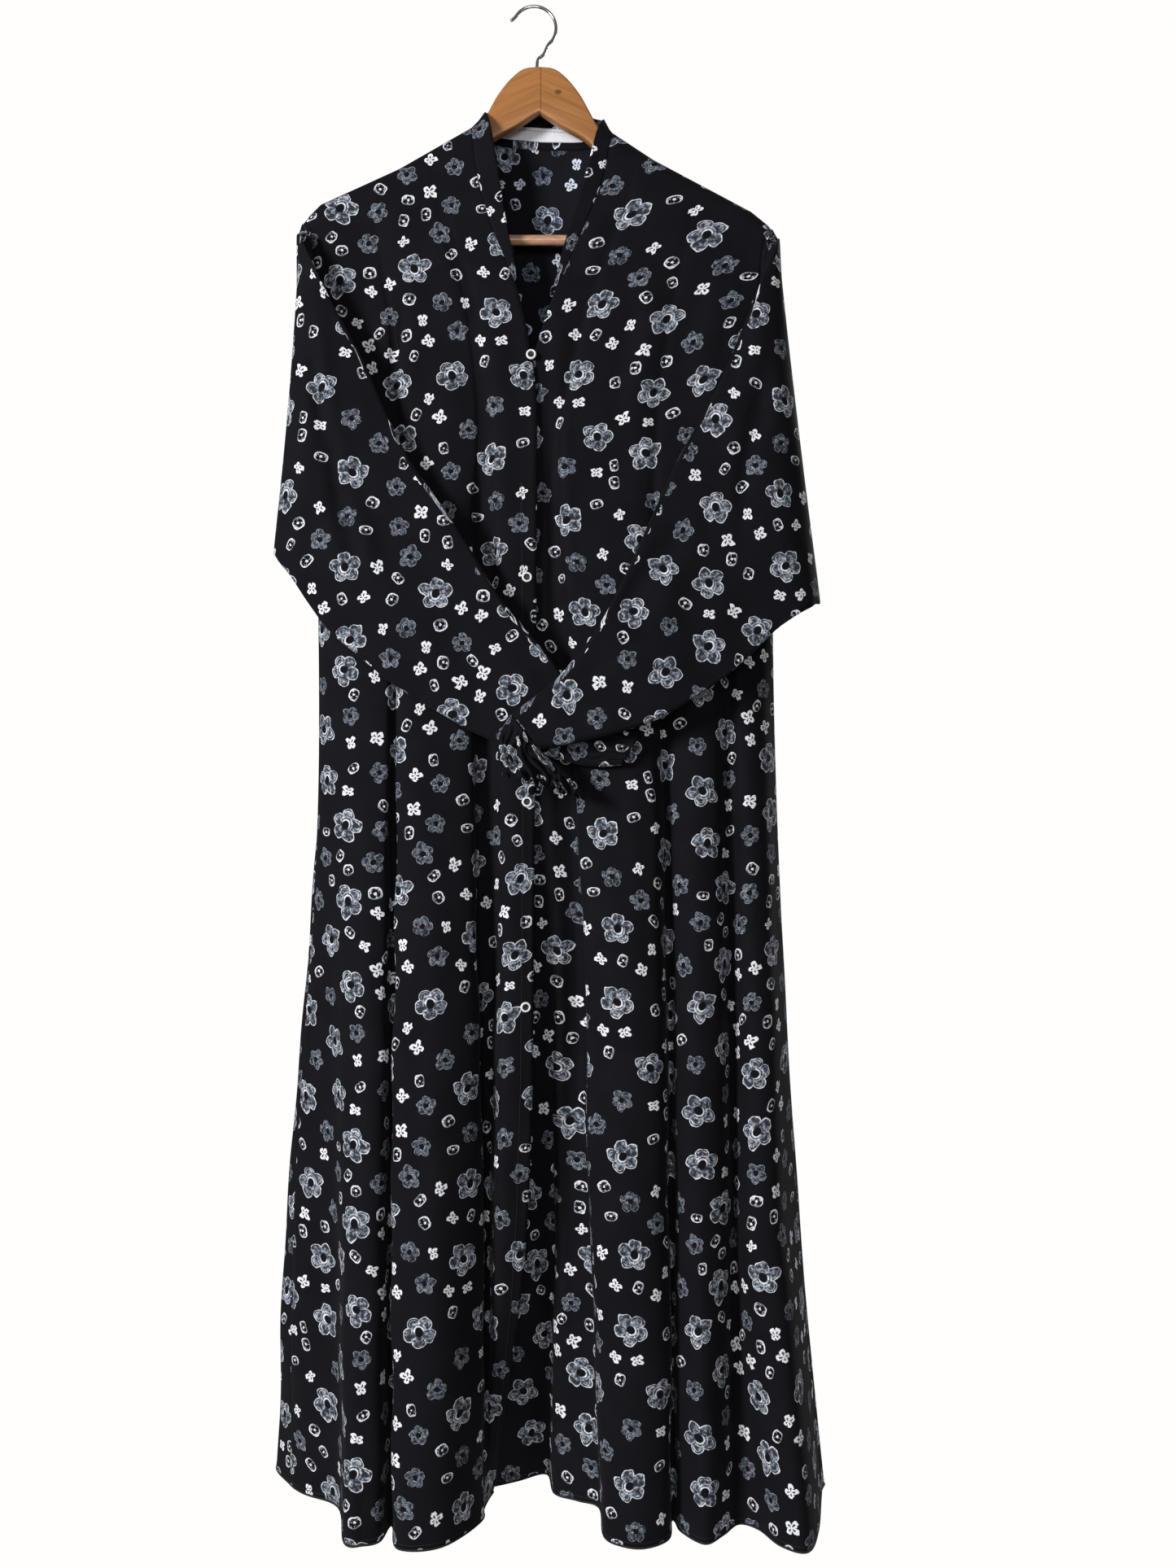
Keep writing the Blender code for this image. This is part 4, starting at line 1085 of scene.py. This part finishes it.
def stitches(name, path, thread):
    """A mesh of the stitches along a path of points."""
    mesh = bpy.data.meshes.new(name)
    mesh.from_pydata((np.array(path) * MM).tolist(), [(i, i + 1) for i in range(len(path) - 1)], [])
    made = linked(name, mesh)
    tree = bpy.data.node_groups.get("stitch_row") or stitch_tree()
    work = made.modifiers.new("stitches", "NODES")
    work.node_group = tree
    values = {"Spacing": STITCH_SPACING * MM, "Stitch Length": STITCH_LENGTH * MM,
              "Thread Radius": STITCH_RADIUS * MM, "Thread": thread}
    for item in tree.interface.items_tree:
        if item.name in values:
            work[item.identifier] = values[item.name]
    return settled(name, made)


def creased(points, creases, seed, strength):
    """The panel with its listed creases and slight unevenness, held still at its edges."""
    push = crease_push(points, creases) + unevenness(points, seed, strength)
    columns = np.arange(points.shape[1])
    push *= smooth_step(np.minimum(columns, columns[::-1]), *STILL_COLUMNS)[None, :]
    push *= smooth_step(np.arange(len(points)), *STILL_ROWS)[:, None]
    return points + grid_normals(points) * push[..., None]


def side_out(points):
    """1 if the grid's normals point away from the wearer, otherwise -1."""
    facing = grid_normals(points)[..., 1].mean() * points[..., 1].mean()
    return 1.0 if facing > 0 else -1.0


def build_body(finishes, hem_finish, thread_finish):
    """Fronts and back with their hems and stitches; gives back the points of their cloth."""
    grid, left, right = body_grid()
    last = grid.shape[1] - 1
    panels = {}
    for name, (first, end, side, creases, seed) in {
            "front_left": (0, left, -1, FRONT_CREASES, 3),
            "back": (left, right, 1, BACK_CREASES, 5),
            "front_right": (right, last, -1, FRONT_CREASES, 4)}.items():
        points = panel(grid, first, end, side)
        panels[name] = points
        shaped = creased(points, creases, seed, CLOTH_UNEVEN)
        flat = flat_lengths(points, points.shape[1] // 2) + PRINT_OFFSETS[name]
        mesh = sheet_mesh(name, shaped, flat, finishes)
        piece = place(f"cloth_{name}", mesh, "print_cloth", name)
        edge = shaped[-1] + (0, 0, HEM_ROLL * HEM_RAISED)
        hem = tube_mesh(f"hem_{name}", edge, HEM_ROLL, hem_finish, HEM_SIDES)
        sewn = [place(f"hem_{name}", hem, "print_cloth")]
        lift = CLOTH_WALL / 2 + STITCH_RADIUS * THREAD_SUNK
        out = shaped + grid_normals(shaped) * side_out(shaped) * lift
        rows = {"hem": out[-HEM_STITCH_ROW]}
        if name == "front_left":
            rows["edge"] = out[len(top_shares()):, EDGE_STITCH_COLUMN]
        if name == "front_right":
            rows["edge"] = out[len(top_shares()):, -1 - EDGE_STITCH_COLUMN]
        for place_name, path in rows.items():
            word = f"stitches_{place_name}_{name}"
            sewn.append(place(word, stitches(word, path, thread_finish), "print_cloth"))
        panels[name + "_shaped"] = shaped
    return panels


def build_collar(panels, finishes, tape_finish, line_finish):
    """The collar on its seam round the neck, and the white tape inside its back."""
    rows = int(np.searchsorted(top_shares(), COLLAR_DOWN, side="right"))
    left = panels["front_left"][:rows, 0][::-1]
    right = panels["front_right"][:rows, -1]
    names = [row[0] for row in BACK]
    first, last = ((names.index(n) + 1) * COLUMNS_PER_ROW for n in (NECK_LEFT, NECK_RIGHT))
    back = panels["back"][0, first:last + 1]
    seam = np.concatenate([left[:-1], back, right[1:]])
    steps = np.linalg.norm(np.diff(seam, axis=0), axis=1)
    shares = np.concatenate([[0], np.cumsum(steps)]) / steps.sum()
    table = np.array(COLLAR, float)
    stand = np.column_stack([glide(shares, table[:, 0], table[:, i]) for i in (1, 2, 3)])
    length = np.linalg.norm(stand, axis=1, keepdims=True)
    base = seam - stand / length * COLLAR_TUCK
    points = np.array([base + stand * share for share in np.linspace(0, 1, COLLAR_ROWS)])
    mesh = sheet_mesh("collar", points, strip_lengths(points) + PRINT_OFFSETS["collar"], finishes,
                      thickness=COLLAR_WALL)
    piece = place("cloth_collar", mesh, "print_cloth", "collar")
    start = len(left) - 1 + COLUMNS_PER_ROW
    end = len(left) - 1 + last - first - COLUMNS_PER_ROW
    lift = np.array([0, -TAPE_LIFT, 0])
    rise = stand[start:end + 1] / length[start:end + 1]
    low, high = TAPE_SPAN
    high = high * (1 - TAPE_ARCH * np.linspace(-1, 1, end + 1 - start)[:, None] ** 2)
    band = np.array([base[start:end + 1] + rise * (low + share * (high - low)) + lift
                     for share in np.linspace(0, 1, TAPE_ROWS)])
    mesh = sheet_mesh("neck_tape", band, strip_lengths(band), [tape_finish], thickness=TAPE_WALL)
    tape = place("neck_tape_band", mesh, "tape", "neck_tape")
    line = band[TAPE_ROWS * 2 // 3] + (0, -TAPE_WALL / 2 - STITCH_RADIUS, 0)
    stitch = place("neck_tape_stitches", stitches("neck_tape_stitches", line, line_finish), "tape")


def sleeve_rings(table, armhole, side):
    """The rings of a sleeve: each a flat round-ended loop, the first round the armhole."""
    def edge_point(share, facing):
        x, z = along_edge(armhole, share)
        return x - side * SLEEVE_LAP, facing * (opened(share) + SLEEVE_STAND), z

    x, z = along_edge(armhole, UNDERARM_SHARE)
    x += side * SLEEVE_LAP
    half = (opened(UNDERARM_NARROWS[0]) + SLEEVE_STAND) * UNDERARM_NARROWS[1]
    corner, middle = UNDERARM_DROPS
    low = [(x, half, z - corner), (x, 0, z - middle), (x, -half, z - corner)]
    x, z = along_edge(armhole, 0.0)
    tip = np.array([x, 0, z])
    high = [edge_point(CAP_SHARE, -1), tip + (0, 0, CAP_RISE), edge_point(CAP_SHARE, 1)]
    first = [edge_point(share, 1) for share in ARMHOLE_SPOTS] + low
    first += [edge_point(share, -1) for share in ARMHOLE_SPOTS[::-1]] + high
    rings = [np.array(first, float)]
    for _, tx, ty, tz, bx, by, bz, half, bow, face in table:
        top, bottom = np.array([tx, ty, tz], float), np.array([bx, by, bz], float)
        centre, reach = (top + bottom) / 2, (top - bottom) / 2
        length = np.linalg.norm(reach)
        axis = reach / length
        turn = math.radians(face)
        out = np.array([side * math.sin(turn), math.cos(turn), 0.0])
        straight = length - half
        ring = []
        for way in (1, -1):
            ring += [centre + axis * way * spot * straight + out * (way * half + bow * (1 - spot ** 2))
                     for spot in RING_SPOTS]
            ring += [centre - axis * way * (straight + half * math.sin(bend))
                     + out * way * half * math.cos(bend) for bend in RING_BENDS]
        rings.append(np.array(ring))
    rings = spline(np.array(rings), SLEEVE_STEPS)
    return np.array([spline(ring, RING_STEPS, closed=True) for ring in rings])


def cuff_rings(table, waves, crumple):
    """The rings of a gathered cuff, with uneven waves that grow towards the ruffle's edge.

    Each wave has a strength, a count round the cuff and a drift on the way down it.
    """
    turns = np.arange(CUFF_POINTS) * 2 * math.pi / CUFF_POINTS
    along, across = np.cos(turns), np.sin(turns)
    rounded = np.sign(across) * np.abs(across) ** CUFF_ROUNDNESS
    rings = []
    rows = spline([line[1:] for line in table], CUFF_STEPS)
    for number, row in enumerate(rows):
        top, bottom, half, wave = row[:3], row[3:6], row[6], row[7]
        down = number / (len(rows) - 1)
        drift = turns + crumple * (0.12 * np.sin(3 * turns + 8 * down)
                                   + 0.05 * np.sin(7 * turns - 9 * down))
        strong = 1 + 0.4 * crumple * np.sin(15 * down + 3 * turns)
        ripple = 0.8 * strong * np.cos(waves * drift)
        ripple += 0.4 * np.cos((2 * waves - 5) * drift + 9 * down)
        ripple += crumple * 0.5 * np.cos((waves - 7) * drift - 12 * down + 1.0)
        ripple += crumple * 0.9 * np.sin(17 * down + 5 * drift) * np.cos(9 * drift + 12 * down)
        ripple *= across * np.abs(across)
        centre, reach = (top + bottom) / 2, (top - bottom) / 2
        out = half * rounded + wave * ripple
        ring = centre + along[:, None] * reach + out[:, None] * np.array([0.0, -1.0, 0.0])
        ring[:, 2] += down ** 2 * wave * 0.5 * np.cos(waves * drift + 1.6)
        rings.append(ring)
    return np.array(rings)


def outward(points):
    """1 if a tube's normals point away from its middle line, otherwise -1."""
    normals = grid_normals(points, closed=True)
    from_middle = points - points.mean(axis=1, keepdims=True)
    return 1 if (normals * from_middle).sum() > 0 else -1


def build_sleeves(finishes):
    """Both sleeves with their creases, and their cuffs."""
    for name, table, armhole, side, creases, seed in (
            ("sleeve_left", SLEEVE_LEFT, ARMHOLE_LEFT, -1, SLEEVE_CREASES_LEFT, 8),
            ("sleeve_right", SLEEVE_RIGHT, ARMHOLE_RIGHT, 1, SLEEVE_CREASES_RIGHT, 9)):
        rings = sleeve_rings(table, armhole, side)
        out = grid_normals(rings, closed=True) * outward(rings)
        number = np.arange(len(rings))
        ends = smooth_step(number, *STILL_AT_ARMHOLE) * smooth_step(number[::-1], *STILL_AT_WRIST)
        push = crease_push(rings, creases) + unevenness(rings, seed, SLEEVE_UNEVEN)
        push *= smooth_step(-out[..., 1], *FACING_VIEWER) * ends[:, None]
        shaped = rings + out * push[..., None]
        flat = tube_lengths(rings, len(rings) // 2, side) + PRINT_OFFSETS[name]
        mesh = sheet_mesh(name, shaped, flat, finishes, closed=True, turned=outward(rings) < 0)
        piece = place(f"cloth_{name}", mesh, "print_cloth", name)
    for name, table, waves, crumple in (("cuff_left", CUFF_LEFT, 12, 0.5),
                                        ("cuff_right", CUFF_RIGHT, 19, 1.0)):
        rings = cuff_rings(table, waves, crumple)
        flat = strip_lengths(rings, closed=True) + PRINT_OFFSETS[name]
        mesh = sheet_mesh(name, rings, flat, finishes, closed=True, turned=outward(rings) < 0)
        piece = place(f"cloth_{name}", mesh, "print_cloth", name)


def build_snaps(panels, ring_finish, core_finish):
    """White ring-shaped snaps on the left front, each with its dark socket."""
    points = panels["front_left_shaped"]
    normals = grid_normals(points)
    for number, (x, z) in enumerate(SNAPS, 1):
        row = int(np.abs(points[:, 0, 2] - z).argmin())
        column = int(np.abs(points[row, :SNAP_COLUMNS, 0] - x).argmin())
        normal = normals[row, column] * (1 if normals[row, column, 1] < 0 else -1)
        centre = points[row, column] + normal * (CLOTH_WALL / 2)
        side = np.cross(normal, (0, 0, 1.0))
        side /= np.linalg.norm(side)
        up = np.cross(side, normal)
        verts, faces, kinds = [], [], []
        for reach, lift in SNAP_PROFILE:
            for step in range(SNAP_SIDES):
                angle = 2 * math.pi * step / SNAP_SIDES
                verts.append(centre + reach * (math.cos(angle) * side + math.sin(angle) * up)
                             + lift * normal)
        for ring in range(len(SNAP_PROFILE) - 1):
            for step in range(SNAP_SIDES):
                a, b = ring * SNAP_SIDES + step, ring * SNAP_SIDES + (step + 1) % SNAP_SIDES
                faces.append((a, b, b + SNAP_SIDES, a + SNAP_SIDES))
                kinds.append(1 if SNAP_PROFILE[ring][0] < SNAP_DARK else 0)
        verts.append(centre + SNAP_PROFILE[0][1] * normal)
        verts.append(centre + SNAP_PROFILE[-1][1] * normal)
        for step in range(SNAP_SIDES):
            after = (step + 1) % SNAP_SIDES
            faces.append((len(verts) - 2, after, step))
            kinds.append(1)
            low = (len(SNAP_PROFILE) - 1) * SNAP_SIDES
            faces.append((len(verts) - 1, low + step, low + after))
            kinds.append(0)
        mesh = bpy.data.meshes.new(f"snap_{number}")
        mesh.from_pydata((np.array(verts) * MM).tolist(), [], faces)
        mended(mesh, ring_finish, core_finish)
        mesh.polygons.foreach_set("material_index", kinds)
        place(f"snap_ring_{number}", mesh, "snap", f"snap_{number}")


def build_hanger(wood_finish, bar_finish, steel_finish):
    """The wood cut to its outline, the hook bent from wire, and the round bar."""
    half = spline(WOOD_HALF_OUTLINE, 3)
    outline = [(WOOD_MIDDLE_X + x, z) for x, z in half]
    outline += [(WOOD_MIDDLE_X - x, z) for x, z in half[-2:0:-1]]
    curve = bpy.data.curves.new("hanger_outline", "CURVE")
    curve.dimensions = "2D"
    curve.fill_mode = "BOTH"
    curve.extrude = (WOOD_HALF - WOOD_ROUND) * MM
    curve.bevel_depth = WOOD_ROUND * MM
    curve.bevel_resolution = 3
    curve.offset = -WOOD_ROUND * MM
    drawn_line(curve, [(x, z, 0) for x, z in outline]).use_cyclic_u = True
    flat = linked("hanger_outline", curve)
    flat.rotation_euler = (math.radians(90), 0, 0)
    mesh = mended(settled("hanger_wood", flat), wood_finish)
    mesh.set_sharp_from_angle(angle=SHARP_ANGLE)
    place("hanger_wood", mesh, "hanger_wood", "hanger_body")

    hook_x, hook_z = HOOK_CENTRE
    path = list(HOOK_STEM)
    for degrees in HOOK_TURN:
        angle = math.radians(degrees)
        path.append((hook_x + HOOK_RADIUS * math.cos(angle), hook_z + HOOK_RADIUS * math.sin(angle)))
    path.append((path[-1][0] + HOOK_TAIL[0], path[-1][1] + HOOK_TAIL[1]))
    route = [(x, 0.0, z) for x, z in spline(path, HOOK_STEPS)]
    place("hook_wire", tube_mesh("hook_wire", route, HOOK_WIRE, steel_finish, HOOK_SIDES), "hook_steel",
          "hanger_hook")

    bpy.ops.mesh.primitive_cylinder_add(radius=BAR_RADIUS * MM, depth=2 * BAR_HALF_LENGTH * MM,
                                        vertices=BAR_SIDES)
    bar = bpy.context.object
    bar.location = (WOOD_MIDDLE_X * MM, 0, BAR_Z * MM)
    bar.rotation_euler = (0, math.radians(90), 0)
    mesh = settled("trouser_bar_wood", bar)
    mesh.shade_smooth()
    mesh.set_sharp_from_angle(angle=SHARP_ANGLE)
    mesh.materials.append(bar_finish)
    place("trouser_bar_wood", mesh, "bar_wood", "trouser_bar")


def build_surroundings():
    """A pale floor, a pale surround, soft lamps and the camera."""
    bpy.ops.mesh.primitive_plane_add(size=FLOOR_SIZE, location=(0, 0, FLOOR_Z))
    floor = bpy.context.object
    floor.name = "floor"
    floor.data.materials.append(plain("floor_pale"))
    world = bpy.context.scene.world or bpy.data.worlds.new("surround")
    bpy.context.scene.world = world
    world.use_nodes = True
    r = Recipe(world.node_tree)
    back = world.node_tree.nodes["Background"]
    back.inputs["Color"].default_value = (*SURROUND, 1.0)
    seen = r.use("ShaderNodeLightPath", "Is Camera Ray")
    r.feed(back.inputs["Strength"], r.scaled(seen, 1.0 - SURROUND_GLOW, SURROUND_GLOW))
    for name, spot, aim, size, power in LAMPS:
        lamp = bpy.data.lights.new(name, "AREA")
        lamp.shape = "RECTANGLE"
        lamp.size, lamp.size_y = size
        lamp.energy = power
        made = linked(name, lamp)
        made.location = spot
        way = Vector(aim) - Vector(spot)
        made.rotation_euler = way.to_track_quat("-Z", "Y").to_euler()
    camera = bpy.data.cameras.new("camera")
    camera.lens = CAMERA_LENS
    camera.sensor_width = CAMERA_SENSOR
    camera.clip_end = CAMERA_REACH
    made = linked("camera", camera)
    made.location = CAMERA_PLACE
    made.rotation_euler = (math.radians(90), 0, 0)
    bpy.context.scene.camera = made
    bpy.context.scene.view_settings.view_transform = "Standard"


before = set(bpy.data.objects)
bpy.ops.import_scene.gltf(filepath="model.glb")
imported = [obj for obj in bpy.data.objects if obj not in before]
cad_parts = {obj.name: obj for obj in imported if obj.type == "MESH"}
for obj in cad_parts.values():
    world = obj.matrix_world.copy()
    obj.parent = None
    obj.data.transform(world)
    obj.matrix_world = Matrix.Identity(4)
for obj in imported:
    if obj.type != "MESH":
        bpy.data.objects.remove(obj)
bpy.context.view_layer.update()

PRINT_FRONT = print_cloth("printed_crepe", CLOTH_BLACK, INK_FRONT, 1.0)
# The reverse face's copy of the print cloth, with a painted cool shade tint in its ground and ink
PRINT_REVERSE_PAINTED_SHADE = print_cloth("printed_crepe_reverse_painted_shade", CLOTH_BLACK_REVERSE_PAINTED_SHADE, INK_REVERSE_PAINTED_SHADE, 0.9)
panels = build_body([PRINT_FRONT, PRINT_REVERSE_PAINTED_SHADE], plain("hem_black"), plain("thread_black"))
build_collar(panels, [PRINT_FRONT], plain("tape_twill"), plain("tape_thread"))
build_sleeves([PRINT_FRONT, PRINT_REVERSE_PAINTED_SHADE])
build_snaps(panels, plain("snap_white"), plain("snap_socket"))
build_hanger(wood("hanger_lacquer", *HANGER_WOOD, True), wood("bar_bare", *BAR_WOOD, False),
             plain("hook_plating", Metallic=1.0))
build_surroundings()
